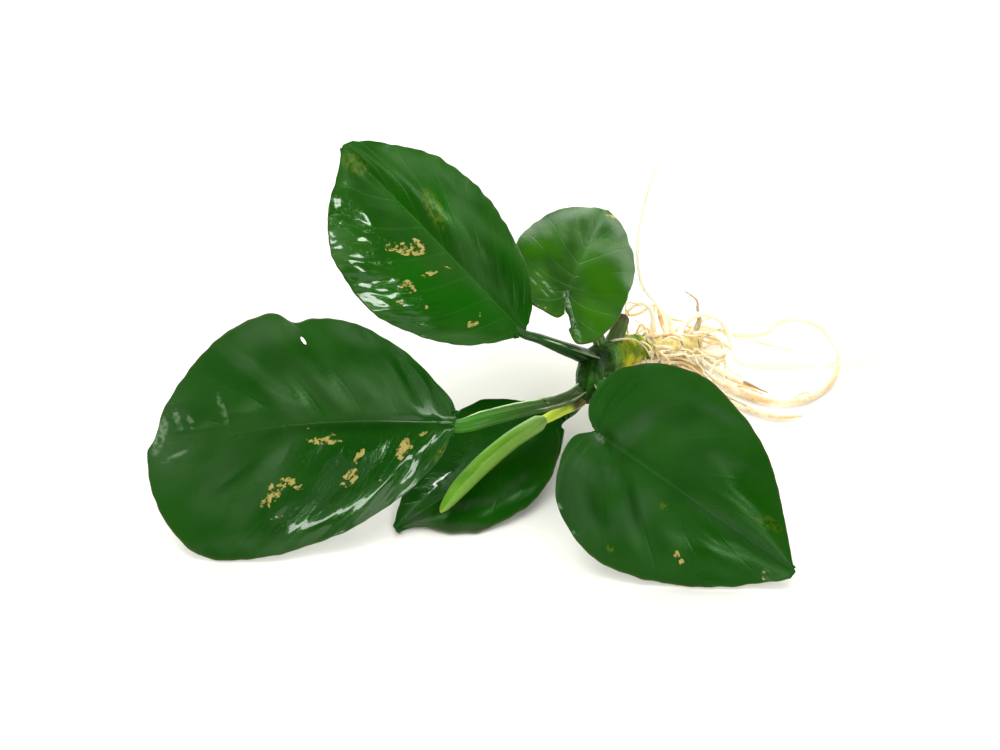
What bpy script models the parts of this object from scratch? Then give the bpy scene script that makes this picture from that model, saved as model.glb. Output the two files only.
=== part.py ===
"""A bare-root anubias plant that lies on a flat surface, at real size in metres with Z up.

The tables give millimetres: X to the viewer's right, Y away from the viewer and Z above the
surface. Every route is a list of (x, y, z, radius), thick end first, and starts inside the
piece that it grows from. A leaf's margins are in the leaf's own plane: (0, 0) is the end of
its stalk, +X runs to its tip and +Y to its left side, seen from above.
"""

import math
from dataclasses import dataclass

import bmesh
import bpy
from mathutils import Vector

MM = 0.001

# The middle of the plant's footprint, which becomes the origin.
FOOTPRINT_CENTRE = (11.1, -30.4)

# Clearance between pieces that grow into each other, and the weld distance of closed ends.
GAP = 0.3
WELD = 0.001

# Blades: cells of the grid, and thickness at the rib, between the veins and at the margin.
BLADE_ROWS = 16
BLADE_COLUMNS = 10
RIB_THICKNESS = 1.3
LAMINA_SHARE = 0.6
MARGIN_SHARE = 0.4
VEIN_SWEEP = 0.07
MARGIN_STEPS = 4

# Tubes: points to a span of the route, and sides around.
ROUTE_STEPS = 2
RHIZOME_STEPS = 4
TUBE_SIDES = 8
RHIZOME_SIDES = 12

# The old leaf scars ring the rhizome: height of a ring as a share of its radius.
SCAR_HEIGHT = 0.06
SCAR_COUNT = 14

# The plane that the plant lies on cuts a small flat under the rhizome's old end.
FLOOR_BLOCK = 40.0

# The papery sheath covers a stretch of the left stalk, this far round each side of its top.
SHEATH_THICKNESS = 0.4
SHEATH_WRAP = math.radians(75.0)
SHEATH_STRETCH = (4, 13)
SHEATH_STATIONS = 32
SHEATH_CELLS_ROUND = 6

RHIZOME = [
    (18.8, -37.6, 17.6, 1.6),
    (19.2, -36.4, 18.0, 2.6),
    (20.0, -33.5, 19.0, 3.1),
    (21.0, -27.0, 20.0, 3.2),
    (24.5, -20.5, 19.0, 3.4),
    (30.5, -12.5, 15.0, 3.6),
    (36.5, -4.5, 10.0, 3.8),
    (42.0, 3.0, 5.6, 3.8),
    (46.0, 7.5, 3.4, 3.7),
    (48.2, 9.8, 3.2, 2.6),
    (48.9, 10.5, 3.2, 1.4),
]

STALKS = {
    "stalk_back": [
        (23.0, -24.5, 19.5, 1.9),
        (18.0, -28.0, 24.0, 1.8),
        (13.5, -29.8, 27.0, 1.5),
        (9.0, -30.6, 29.6, 1.2),
        (5.2, -30.6, 31.0, 1.0),
    ],
    "stalk_small": [
        (23.8, -21.5, 19.5, 1.4),
        (21.5, -20.5, 26.0, 1.3),
        (19.0, -19.2, 29.6, 1.1),
        (15.8, -17.6, 31.2, 0.9),
    ],
    "stalk_left": [
        (20.2, -33.5, 19.5, 1.4),
        (15.5, -39.5, 20.0, 1.4),
        (10.5, -43.0, 20.3, 1.4),
        (4.5, -46.3, 20.6, 1.5),
        (-2.0, -49.6, 20.9, 1.7),
        (-9.0, -52.3, 21.2, 1.7),
    ],
    "stalk_under": [
        (20.0, -32.0, 17.5, 1.3),
        (18.6, -31.0, 13.6, 1.2),
        (17.4, -30.4, 11.0, 1.1),
        (16.6, -30.7, 9.9, 0.9),
    ],
    "stalk_right": [
        (21.5, -31.5, 18.5, 1.6),
        (23.5, -37.5, 20.5, 1.5),
        (23.0, -47.0, 22.0, 1.4),
        (22.3, -55.0, 23.8, 1.3),
        (22.0, -60.4, 23.4, 1.1),
    ],
    "stalk_rolled": [
        (19.2, -36.0, 17.0, 1.2),
        (17.0, -38.2, 17.0, 1.3),
        (14.0, -39.6, 16.3, 1.35),
        (11.0, -40.8, 15.2, 1.4),
    ],
}

LEAF_ROLLED = [
    (10.5, -41.1, 15.0, 1.35),
    (8.0, -42.2, 14.2, 1.55),
    (2.0, -45.6, 11.9, 1.7),
    (-4.0, -50.6, 9.2, 1.75),
    (-9.0, -56.6, 7.1, 1.5),
    (-12.0, -61.2, 5.6, 0.9),
    (-13.0, -63.0, 5.0, 0.25),
]

OLD_STALK = [
    (26.0, -18.0, 18.5, 2.1),
    (27.0, -16.4, 21.5, 2.0),
    (28.6, -13.6, 24.2, 1.7),
    (29.2, -12.6, 25.0, 0.8),
]

ROOTS = {
    "root_far_loop": [
        (42.5, 5.0, 5.0, 0.9),
        (46.5, 12.0, 5.2, 0.9),
        (50.0, 14.6, 4.2, 0.9),
        (54.5, 17.2, 2.4, 0.85),
        (58.5, 16.6, 1.3, 0.8),
        (64.0, 16.2, 1.3, 0.75),
        (67.5, 15.4, 3.4, 0.75),
        (69.5, 13.4, 7.0, 0.7),
        (73.5, 11.4, 8.8, 0.7),
        (78.5, 9.2, 8.0, 0.7),
        (81.5, 5.0, 5.6, 0.65),
        (82.5, 0.5, 4.6, 0.4),
    ],
    "root_near_loop": [
        (43.5, 4.5, 3.6, 1.0),
        (47.5, -0.4, 2.4, 1.0),
        (53.0, -5.6, 1.7, 1.0),
        (57.0, -9.0, 1.2, 0.95),
        (62.5, -12.6, 1.1, 0.9),
        (68.5, -13.6, 1.1, 0.9),
        (74.0, -11.6, 1.1, 0.85),
        (79.0, -6.6, 1.1, 0.8),
        (82.0, -0.6, 1.8, 0.7),
        (82.6, 4.4, 3.2, 0.4),
    ],
    "root_low": [
        (39.5, 0.5, 5.5, 0.95),
        (43.0, -5.0, 2.4, 0.95),
        (48.0, -8.6, 1.2, 0.9),
        (54.0, -12.6, 1.0, 0.85),
        (61.0, -17.6, 1.0, 0.8),
        (66.0, -19.6, 0.9, 0.7),
        (71.5, -19.2, 0.9, 0.4),
    ],
    "root_long": [
        (43.5, 5.0, 6.6, 0.9),
        (45.5, 9.0, 9.6, 0.8),
        (50.0, 10.6, 11.0, 0.75),
        (54.0, 11.6, 9.4, 0.7),
        (56.0, 12.0, 6.4, 0.7),
        (57.4, 9.6, 3.0, 0.7),
        (58.4, 6.0, 1.1, 0.65),
        (62.0, 3.6, 0.9, 0.65),
        (72.0, 3.4, 0.9, 0.6),
        (85.5, 4.6, 0.9, 0.55),
        (98.5, 6.0, 0.8, 0.3),
    ],
    "root_tall": [
        (40.8, 2.0, 8.0, 0.8),
        (40.0, 5.5, 13.0, 0.75),
        (37.5, 8.5, 16.0, 0.7),
        (34.6, 10.0, 19.4, 0.65),
        (33.4, 12.2, 25.0, 0.6),
        (33.4, 14.4, 31.0, 0.6),
        (34.6, 16.6, 37.0, 0.55),
        (36.0, 17.6, 43.0, 0.55),
        (38.2, 19.4, 48.0, 0.5),
        (41.0, 21.0, 50.6, 0.45),
        (45.0, 22.6, 51.0, 0.25),
    ],
    "root_arch": [
        (36.6, -4.0, 10.4, 0.8),
        (37.0, 0.6, 15.0, 0.7),
        (35.6, 2.4, 18.0, 0.65),
        (33.0, 2.2, 19.0, 0.6),
        (30.4, 0.0, 18.0, 0.35),
    ],
    "root_short": [
        (43.0, 4.6, 5.6, 0.85),
        (41.6, 8.4, 9.6, 0.75),
        (40.0, 11.4, 12.0, 0.65),
        (38.6, 13.8, 12.6, 0.35),
    ],
    "root_small_loop": [
        (45.6, 7.0, 2.9, 0.8),
        (50.6, 1.8, 2.0, 0.75),
        (54.6, -2.4, 1.4, 0.7),
        (58.6, -6.2, 1.4, 0.65),
        (62.0, -8.8, 0.9, 0.35),
    ],
    "root_stub": [
        (46.4, 8.2, 3.2, 0.85),
        (51.6, 4.2, 3.4, 0.8),
        (54.0, 1.0, 4.6, 0.75),
        (54.4, -1.0, 6.6, 0.4),
    ],
    "root_prop_front": [
        (30.5, -12.5, 14.0, 1.0),
        (32.0, -13.2, 8.0, 0.95),
        (33.4, -15.4, 3.0, 0.85),
        (36.4, -18.4, 0.9, 0.7),
        (41.0, -21.6, 0.8, 0.35),
    ],
    "root_prop_back": [
        (34.6, -6.8, 11.0, 1.0),
        (32.4, -3.4, 6.0, 0.9),
        (30.6, 0.4, 2.0, 0.8),
        (28.6, 4.6, 0.9, 0.65),
        (26.4, 9.0, 0.8, 0.35),
    ],
}


@dataclass
class Leaf:
    """One blade, with its outline in its own plane and how it is bent out of that plane."""

    # Where the base is, and the heading, pitch and roll in degrees.
    base: tuple
    turn: tuple
    # The outline, from the notch at the stalk round each side to the tip.
    length: float
    left_margin: list
    right_margin: list
    # How closely the side veins crowd towards the stalk: 1 is evenly.
    fan: float
    # How far the midrib bows to the left, each half swells, each margin lifts and the tip sinks.
    midrib_bend: float
    swell: float
    curl: tuple
    droop: float


LEAVES = {
    "leaf_back": Leaf(
        base=(4.5, -30.3, 32.0),
        turn=(135.4, 24.3, -27.4),
        length=64.0,
        left_margin=[
            (-0.5, 2.5), (1.5, 6.5), (5.0, 11.7), (10.5, 16.4), (21.5, 21.8), (29.5, 22.6),
            (37.5, 21.6), (44.0, 19.6), (51.8, 14.0), (59.3, 5.1), (63.4, 0.8),
        ],
        right_margin=[
            (-0.1, -2.6), (2.5, -5.7), (7.4, -9.3), (13.3, -12.3), (26.6, -15.9),
            (33.6, -16.4), (41.1, -15.9), (47.2, -14.3), (53.6, -10.7), (58.5, -7.1),
            (63.2, -2.4),
        ],
        fan=1.3,
        midrib_bend=0.0,
        swell=1.8,
        curl=(2.0, -1.5),
        droop=2.0,
    ),
    "leaf_small": Leaf(
        base=(15.1, -17.5, 34.0),
        turn=(74.6, 4.8, 10.0),
        length=37.2,
        left_margin=[
            (-7.5, -1.6), (-9.4, -0.3), (-8.6, 3.0), (-7.2, 6.2), (-2.2, 10.4), (6.2, 14.1),
            (14.8, 15.6), (22.8, 14.3), (28.4, 12.0), (32.4, 9.3), (35.3, 5.8), (37.0, 1.8),
        ],
        right_margin=[
            (-9.3, -4.3), (-14.8, -5.5), (-16.0, -7.5), (-13.7, -10.3), (-6.3, -13.0),
            (1.6, -13.7), (13.8, -13.2), (19.6, -12.2), (24.9, -10.2), (30.0, -7.8),
            (33.7, -5.5), (37.0, -1.4),
        ],
        fan=2.0,
        midrib_bend=0.0,
        swell=1.0,
        curl=(-1.0, -1.0),
        droop=1.0,
    ),
    "leaf_left": Leaf(
        base=(-10.6, -52.8, 21.6),
        turn=(-171.3, -0.9, -56.8),
        length=66.2,
        left_margin=[
            (1.0, 4.2), (3.8, 7.8), (7.7, 11.3), (12.4, 14.6), (23.7, 20.3), (36.5, 23.8),
            (49.1, 24.8), (54.3, 24.0), (58.4, 22.1), (63.4, 15.8), (66.0, 7.9), (66.3, 1.5),
        ],
        right_margin=[
            (-1.2, -3.1), (0.0, -6.0), (6.9, -15.0), (11.4, -19.0), (17.3, -23.1),
            (22.5, -25.1), (27.5, -25.8), (31.9, -25.2), (35.4, -27.5), (38.7, -27.5),
            (42.7, -26.3), (49.8, -22.6), (55.7, -16.9), (61.2, -10.0), (64.2, -3.2),
            (66.0, -0.8),
        ],
        fan=1.3,
        midrib_bend=-3.0,
        swell=2.2,
        curl=(2.5, -1.5),
        droop=2.0,
    ),
    "leaf_under": Leaf(
        base=(15.1, -31.8, 10.0),
        turn=(-139.9, -10.3, -9.2),
        length=50.4,
        left_margin=[
            (2.0, 0.8), (4.8, 1.8), (7.1, 5.2), (13.5, 10.4), (17.9, 12.4), (22.6, 13.6),
            (27.1, 13.9), (34.6, 12.9), (38.4, 11.3), (41.9, 8.3), (44.6, 3.9), (47.9, 1.3),
            (50.2, 0.5),
        ],
        right_margin=[
            (0.6, -1.8), (2.6, -6.0), (5.9, -11.0), (10.2, -15.2), (13.3, -16.6),
            (18.8, -16.8), (28.5, -14.8), (36.2, -11.6), (44.9, -5.3), (49.9, -1.2),
        ],
        fan=1.3,
        midrib_bend=0.0,
        swell=-1.0,
        curl=(-0.8, 0.8),
        droop=0.0,
    ),
    "leaf_right": Leaf(
        base=(21.1, -62.8, 25.9),
        turn=(-26.8, -24.3, 44.1),
        length=51.0,
        left_margin=[
            (-4.0, 2.1), (-5.9, 6.6), (-4.9, 12.9), (0.3, 18.8), (6.3, 21.9), (12.8, 23.2),
            (20.5, 21.8), (28.0, 19.4), (34.9, 15.2), (43.2, 7.5), (50.2, 0.5),
        ],
        right_margin=[
            (-3.2, -2.4), (-3.4, -5.3), (-1.9, -12.7), (1.6, -17.6), (8.6, -21.2),
            (16.1, -22.3), (24.1, -20.4), (32.4, -16.6), (40.0, -11.7), (48.3, -4.4),
            (50.9, -1.6),
        ],
        fan=1.9,
        midrib_bend=0.0,
        swell=2.0,
        curl=(-2.0, -1.5),
        droop=2.0,
    ),
}

# Colour (linear red, green, blue) and roughness of each kind of skin.
SKINS = {
    "leaf_dark": ((0.012, 0.075, 0.008), 0.22),
    "leaf_bright": ((0.025, 0.14, 0.012), 0.28),
    "leaf_young": ((0.30, 0.48, 0.09), 0.40),
    "stalk_green": ((0.12, 0.30, 0.04), 0.35),
    "stalk_old": ((0.07, 0.10, 0.02), 0.50),
    "rhizome_skin": ((0.42, 0.33, 0.08), 0.50),
    "root_skin": ((0.72, 0.56, 0.34), 0.60),
    "sheath_skin": ((0.50, 0.42, 0.25), 0.60),
}

LEAF_SKINS = {"leaf_small": "leaf_bright"}


def clear_scene():
    """Remove every object that a new file starts with."""
    for thing in list(bpy.data.objects):
        bpy.data.objects.remove(thing, do_unlink=True)


def new_collection(name):
    """A collection linked to the scene."""
    collection = bpy.data.collections.new(name)
    bpy.context.scene.collection.children.link(collection)
    return collection


def new_skin(name, colour, roughness):
    """A Principled BSDF material of one colour."""
    skin = bpy.data.materials.new(name)
    skin.use_nodes = True
    shader = skin.node_tree.nodes["Principled BSDF"]
    shader.inputs["Base Color"].default_value = (*colour, 1.0)
    shader.inputs["Roughness"].default_value = roughness
    shader.inputs["Metallic"].default_value = 0.0
    return skin


def add_piece(name, mesh, collection, skin=None):
    """Put a mesh into a collection as a smooth-shaded piece of the plant."""
    mesh.name = name
    mesh.shade_smooth()
    if skin:
        mesh.materials.clear()
        mesh.materials.append(skin)
    piece = bpy.data.objects.new(name, mesh)
    collection.objects.link(piece)
    piece.parent = bpy.data.objects["plant_frame"]
    return piece


def smooth(points, steps):
    """Points of a smooth curve through the given ones, so many to each span."""
    knots = [Vector(point) for point in points]
    knots = [2 * knots[0] - knots[1], *knots, 2 * knots[-1] - knots[-2]]
    curve = []
    for before, start, end, after in zip(knots, knots[1:], knots[2:], knots[3:]):
        for step in range(steps):
            t = step / steps
            straight = (end - before) * t
            square = (2 * before - 5 * start + 4 * end - after) * t**2
            cube = (3 * start - before - 3 * end + after) * t**3
            curve.append(start + 0.5 * (straight + square + cube))
    curve.append(knots[-2])
    return curve


def evenly_spaced(curve, count):
    """Resample a curve at equal steps of its length, both ends included."""
    spans = [(b - a).length for a, b in zip(curve, curve[1:])]
    total = sum(spans)
    places = []
    index = 0
    passed = 0.0
    for step in range(count + 1):
        wanted = total * step / count
        while index < len(spans) - 1 and passed + spans[index] < wanted:
            passed += spans[index]
            index += 1
        share = min((wanted - passed) / spans[index], 1.0)
        places.append(curve[index].lerp(curve[index + 1], share))
    return places


def blade_height(leaf, along, across, curl):
    """Height of the blade over its flat plane, with across from 0 at the midrib to 1."""
    body = math.sin(math.pi * min(max(along, 0.0), 1.0))
    swell = leaf.swell * math.sin(math.pi * across) * body
    droop = leaf.droop * along**2
    return swell + curl * across**2 * body - droop


def blade_place(leaf, margin, curl, row, across):
    """A point of one half of the blade, on the row that runs like a side vein."""
    along = row / BLADE_ROWS
    rib_share = along**leaf.fan
    bend = leaf.midrib_bend * math.sin(math.pi * rib_share)
    rib = Vector((leaf.length * rib_share, bend))
    place = rib.lerp(margin[row], across)
    sweep = VEIN_SWEEP * leaf.length * math.sin(math.pi * along) * math.sin(math.pi * across)
    place.x -= sweep
    height = blade_height(leaf, place.x / leaf.length, across, curl)
    return Vector((place.x, place.y, height))


def add_blade(name, leaf, collection, skin):
    """A leaf blade: a grid shaped to the outline, thickened downwards, with a rib below."""
    bpy.ops.mesh.primitive_grid_add(
        x_subdivisions=BLADE_ROWS, y_subdivisions=BLADE_COLUMNS, size=2.0
    )
    grid = bpy.context.object
    mesh = grid.data.copy()
    bpy.data.objects.remove(grid)
    margins = (leaf.left_margin, leaf.right_margin)
    halves = [evenly_spaced(smooth(margin, MARGIN_STEPS), BLADE_ROWS) for margin in margins]
    shares = []
    for vertex in mesh.vertices:
        row = round((vertex.co.x + 1) / 2 * BLADE_ROWS)
        across = abs(vertex.co.y)
        side = 0 if vertex.co.y > 0 else 1
        vertex.co = blade_place(leaf, halves[side], leaf.curl[side], row, across) * MM
        on_rim = across > 0.99 or row in (0, BLADE_ROWS)
        on_rib = across < 0.01
        shares.append(MARGIN_SHARE if on_rim else 1.0 if on_rib else LAMINA_SHARE)
    blade = add_piece(name, mesh, collection, skin)
    thickness_group = blade.vertex_groups.new(name="thickness")
    for index, share in enumerate(shares):
        thickness_group.add([index], share, "REPLACE")
    heading, pitch, roll = (math.radians(angle) for angle in leaf.turn)
    blade.location = Vector(leaf.base) * MM
    blade.rotation_euler = (roll, -pitch, heading)
    thicken = blade.modifiers.new("thickness", "SOLIDIFY")
    thicken.thickness = RIB_THICKNESS * MM
    thicken.offset = -1.0
    thicken.vertex_group = thickness_group.name
    return blade


def tube_mesh(name, route, sides):
    """A closed tube along a route of (x, y, z, radius) points, as a mesh."""
    curve = bpy.data.curves.new(name, "CURVE")
    curve.dimensions = "3D"
    curve.bevel_depth = MM
    curve.bevel_resolution = (sides - 4) // 2
    curve.use_fill_caps = True
    spline = curve.splines.new("POLY")
    spline.points.add(len(route) - 1)
    for point, (x, y, z, radius) in zip(spline.points, route):
        point.co = (x * MM, y * MM, z * MM, 1.0)
        point.radius = radius
    holder = bpy.data.objects.new(name, curve)
    bpy.context.scene.collection.objects.link(holder)
    drawn = holder.evaluated_get(bpy.context.evaluated_depsgraph_get())
    mesh = bpy.data.meshes.new_from_object(drawn)
    bpy.data.objects.remove(holder)
    bpy.data.curves.remove(curve)
    shell = bmesh.new()
    shell.from_mesh(mesh)
    bmesh.ops.remove_doubles(shell, verts=shell.verts, dist=WELD * MM)
    bmesh.ops.recalc_face_normals(shell, faces=shell.faces)
    shell.to_mesh(mesh)
    shell.free()
    return mesh


def widened(route, extra):
    """The same route, larger by so much all round and at both ends."""
    wide = [Vector((x, y, z, radius + extra)) for x, y, z, radius in route]
    for end, inner in ((0, 1), (-1, -2)):
        outward = (wide[end].xyz - wide[inner].xyz).normalized() * extra
        wide[end] += Vector((*outward, 0.0))
    return wide


def scarred(route):
    """The rhizome's route with the rings that old leaves left on it."""
    ringed = []
    last = len(route) - 1
    for index, (x, y, z, radius) in enumerate(route):
        ring = math.cos(2 * math.pi * SCAR_COUNT * index / last)
        ringed.append((x, y, z, radius * (1 + SCAR_HEIGHT * ring)))
    return ringed


def cut_away(piece, cutter):
    """Cut one closed solid out of a piece."""
    cut = piece.modifiers.new("cut_" + cutter.name, "BOOLEAN")
    cut.operation = "DIFFERENCE"
    cut.solver = "EXACT"
    cut.object = cutter


def add_cutter(name, mesh, collection):
    """A solid that only cuts others, drawn as wires and left out of renders."""
    cutter = add_piece(name, mesh, collection)
    cutter.hide_render = True
    cutter.display_type = "WIRE"
    return cutter


def floor_block_mesh():
    """A block whose top is the surface that the plant lies on."""
    bpy.ops.mesh.primitive_cube_add(size=FLOOR_BLOCK * MM)
    cube = bpy.context.object
    mesh = cube.data.copy()
    bpy.data.objects.remove(cube)
    return mesh


def add_rhizome(collection, cutters, skin):
    """The creeping stem, with a small flat where its old end rests on the surface."""
    route = scarred(smooth(RHIZOME, RHIZOME_STEPS))
    rhizome = add_piece("rhizome", tube_mesh("rhizome", route, RHIZOME_SIDES), collection, skin)
    floor_block = add_cutter("cutter_floor", floor_block_mesh(), cutters)
    end_x, end_y = RHIZOME[-3][:2]
    floor_block.location = Vector((end_x, end_y, -FLOOR_BLOCK / 2)) * MM
    cut_away(rhizome, floor_block)
    clear_route = widened(route, GAP)
    clear_mesh = tube_mesh("cutter_rhizome", clear_route, RHIZOME_SIDES)
    return add_cutter("cutter_rhizome", clear_mesh, cutters)


def add_branch(name, route, rhizome_cutter, collection, skin):
    """A stalk or root that grows out of the rhizome."""
    mesh = tube_mesh(name, smooth(route, ROUTE_STEPS), TUBE_SIDES)
    branch = add_piece(name, mesh, collection, skin)
    if rhizome_cutter:
        cut_away(branch, rhizome_cutter)
    return branch


def add_sheath(rhizome_cutter, collection, skin):
    """The papery shell over the top of the left stalk, where it leaves the growing end."""
    stations = evenly_spaced(smooth(STALKS["stalk_left"], ROUTE_STEPS), SHEATH_STATIONS)
    first, last = SHEATH_STRETCH
    bpy.ops.mesh.primitive_grid_add(
        x_subdivisions=last - first, y_subdivisions=SHEATH_CELLS_ROUND, size=2.0
    )
    grid = bpy.context.object
    mesh = grid.data.copy()
    bpy.data.objects.remove(grid)
    for vertex in mesh.vertices:
        index = first + round((vertex.co.x + 1) / 2 * (last - first))
        centre = stations[index].xyz
        forward = (stations[index + 1].xyz - centre).normalized()
        side = Vector((0.0, 0.0, 1.0)).cross(forward).normalized()
        top = forward.cross(side)
        angle = vertex.co.y * SHEATH_WRAP
        outward = top * math.cos(angle) + side * math.sin(angle)
        vertex.co = (centre + outward * (stations[index].w + GAP)) * MM
    sheath = add_piece("sheath", mesh, collection, skin)
    thicken = sheath.modifiers.new("thickness", "SOLIDIFY")
    thicken.thickness = SHEATH_THICKNESS * MM
    thicken.offset = 1.0
    cut_away(sheath, rhizome_cutter)


def main():
    clear_scene()
    plant = new_collection("anubias_plant")
    cutters = new_collection("cutters")
    plant_frame = bpy.data.objects.new("plant_frame", None)
    plant.objects.link(plant_frame)
    plant_frame.location = (-FOOTPRINT_CENTRE[0] * MM, -FOOTPRINT_CENTRE[1] * MM, 0.0)
    skins = {name: new_skin(name, *looks) for name, looks in SKINS.items()}
    rhizome_cutter = add_rhizome(plant, cutters, skins["rhizome_skin"])
    for name, leaf in LEAVES.items():
        add_blade(name, leaf, plant, skins[LEAF_SKINS.get(name, "leaf_dark")])
    for name, route in STALKS.items():
        add_branch(name, route, rhizome_cutter, plant, skins["stalk_green"])
    for name, route in ROOTS.items():
        add_branch(name, route, rhizome_cutter, plant, skins["root_skin"])
    add_branch("old_stalk", OLD_STALK, rhizome_cutter, plant, skins["stalk_old"])
    add_branch("leaf_rolled", LEAF_ROLLED, None, plant, skins["leaf_young"])
    add_sheath(rhizome_cutter, plant, skins["sheath_skin"])


main()
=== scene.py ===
# %% [markdown]
# # A bare-root anubias, dressed
#
# The plant lies on a plain surface: five grown leaves, one that is still rolled, a creeping
# stem and a tangle of roots. Its plain solids come from the CAD model. This lesson puts a
# detailed piece over each of them, with veins, wet gloss, scars and thin roots. Every number
# about the plant is in millimetres, in the frame in which the photograph was measured: X to the
# right, Y away from the viewer, and Z up from the surface.

# %% Load the frame
import math
import random
from dataclasses import dataclass, field

import bpy
from mathutils import Euler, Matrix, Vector, noise


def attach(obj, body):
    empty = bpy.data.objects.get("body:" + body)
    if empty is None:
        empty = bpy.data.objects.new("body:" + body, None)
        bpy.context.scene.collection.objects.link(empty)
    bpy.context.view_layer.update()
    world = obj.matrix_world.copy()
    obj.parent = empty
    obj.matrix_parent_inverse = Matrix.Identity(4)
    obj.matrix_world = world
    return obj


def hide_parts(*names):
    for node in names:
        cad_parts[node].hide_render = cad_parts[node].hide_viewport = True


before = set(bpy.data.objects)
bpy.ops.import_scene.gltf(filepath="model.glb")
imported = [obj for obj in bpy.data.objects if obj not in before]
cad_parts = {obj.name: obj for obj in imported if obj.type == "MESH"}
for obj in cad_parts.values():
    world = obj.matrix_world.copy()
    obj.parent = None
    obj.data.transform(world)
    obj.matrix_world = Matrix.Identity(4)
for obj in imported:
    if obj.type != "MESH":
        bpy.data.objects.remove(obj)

MM = 0.001
# The middle of the plant's footprint in the measured frame, which is the origin of the solids.
FOOTPRINT_CENTRE = Vector((11.1, -30.4, 0.0))
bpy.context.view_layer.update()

# %% [markdown]
# ## Camera
#
# The photographer looked down at the plant at 33 degrees, from about half a metre away. A long
# lens at that distance gives the same slight foreshortening as in the photograph, so the camera
# is placed by its distance, its angle and the point that it looks at.

# %% Camera
CAMERA_ELEVATION = math.radians(33.0)
CAMERA_DISTANCE = 542.0
CAMERA_LENS = 80.0
CAMERA_SENSOR = 36.0
# The nearest and the farthest thing that the camera draws, in metres.
CAMERA_CLIP = (0.01, 20.0)


def placed(point):
    """A measured point in millimetres, as metres in the frame of the solids."""
    return (Vector(point) - FOOTPRINT_CENTRE) * MM


def towards(compass, elevation):
    """A direction by compass angle, 0 away from the viewer and 90 to the right, in degrees."""
    turn, rise = math.radians(compass), math.radians(elevation)
    return Vector((math.sin(turn) * math.cos(rise), math.cos(turn) * math.cos(rise), math.sin(rise)))


to_camera = towards(180.0, math.degrees(CAMERA_ELEVATION))
bpy.ops.object.camera_add(
    location=placed(to_camera * CAMERA_DISTANCE),
    rotation=(math.pi / 2 - CAMERA_ELEVATION, 0.0, 0.0),
)
camera = bpy.context.object
camera.name = "camera"
camera.data.lens = CAMERA_LENS
camera.data.sensor_width = CAMERA_SENSOR
camera.data.clip_start, camera.data.clip_end = CAMERA_CLIP
bpy.context.scene.camera = camera
print("camera at", [round(value, 3) for value in camera.location])

# %% [markdown]
# ## Floor and light
#
# A product photograph like this one is taken on a bright white surface between large soft
# lights. Leaves are dark and glossy, so what they mirror matters more than where the light
# falls: dim windows behind the plant and behind the camera give the broad grey sheen, and small
# bright lamps give the white streaks on the wet blades. The light that only has to lift the
# whole scene comes from four large panels, and these are kept out of the reflections.

# %% Floor and light
FLOOR_SIZE = 4.0
FLOOR_DROP = 0.05
FLOOR_COLOUR = (0.83, 0.82, 0.755)
FLOOR_ROUGHNESS = 0.9
WORLD_STRENGTH = 0.06


def plain_material(name, colour, roughness):
    """A material of one colour, for the floor."""
    material = bpy.data.materials.new(name)
    material.use_nodes = True
    shader = material.node_tree.nodes["Principled BSDF"]
    shader.inputs["Base Color"].default_value = (*colour, 1.0)
    shader.inputs["Roughness"].default_value = roughness
    return material


def add_panel(name, compass, elevation, distance, size, brightness, in_gloss=True):
    """A soft light that faces the plant, by how bright its face looks."""
    direction = towards(compass, elevation)
    width, height = size
    bpy.ops.object.light_add(type="AREA", location=direction * distance)
    panel = bpy.context.object
    panel.name = name
    panel.rotation_euler = direction.to_track_quat("Z", "Y").to_euler()
    panel.data.shape = "RECTANGLE"
    panel.data.size = width
    panel.data.size_y = height
    panel.data.energy = brightness * math.pi * width * height
    panel.visible_glossy = in_gloss
    return panel


bpy.ops.mesh.primitive_plane_add(size=FLOOR_SIZE, location=(0.0, 0.0, -FLOOR_DROP * MM))
floor = bpy.context.object
floor.name = "floor"
floor.data.materials.append(plain_material("floor_white", FLOOR_COLOUR, FLOOR_ROUGHNESS))

world = bpy.data.worlds.new("studio")
world.use_nodes = True
background = world.node_tree.nodes["Background"]
background.inputs["Color"].default_value = (1.0, 1.0, 1.0, 1.0)
background.inputs["Strength"].default_value = WORLD_STRENGTH
bpy.context.scene.world = world
bpy.context.scene.view_settings.view_transform = "Standard"

# What the leaves mirror: dim windows behind the plant and behind the camera, and small lamps.
add_panel("window_behind", 12.0, 15.0, 0.9, (1.3, 0.46), 2.4)
add_panel("window_camera", 178.0, 40.0, 1.0, (0.9, 0.35), 0.22)
add_panel("window_left", -148.0, 50.0, 1.0, (0.40, 0.40), 0.8)
add_panel("lamp_above", 4.0, 62.0, 0.8, (0.20, 0.03), 18.0)
add_panel("lamp_high_left", -112.0, 70.0, 0.8, (0.14, 0.09), 15.0)
add_panel("lamp_left", -78.0, 58.0, 0.8, (0.11, 0.07), 13.0)
add_panel("lamp_camera", 165.0, 23.0, 1.0, (0.50, 0.15), 10.0)
add_panel("lamp_camera_high", 150.0, 42.0, 1.0, (0.12, 0.16), 12.0)
# What lights the leaves: four large panels, so that no shadow is hard.
add_panel("fill_above", 10.0, 70.0, 1.0, (1.4, 1.4), 2.2, in_gloss=False)
add_panel("fill_behind", 10.0, 30.0, 1.0, (1.4, 0.7), 2.0, in_gloss=False)
add_panel("fill_left", -72.0, 20.0, 1.0, (1.0, 0.5), 2.4, in_gloss=False)
add_panel("fill_camera", 190.0, 48.0, 1.0, (1.4, 0.8), 0.9, in_gloss=False)

# %% [markdown]
# ## Writing materials as sums
#
# A procedural material is arithmetic on numbers that vary over the surface. Wiring such sums
# by hand is slow to read, so a small class wraps a node's output, and Python's own + - and *
# then add the Math nodes. A second class holds the material and adds every other node with one
# method.

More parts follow.
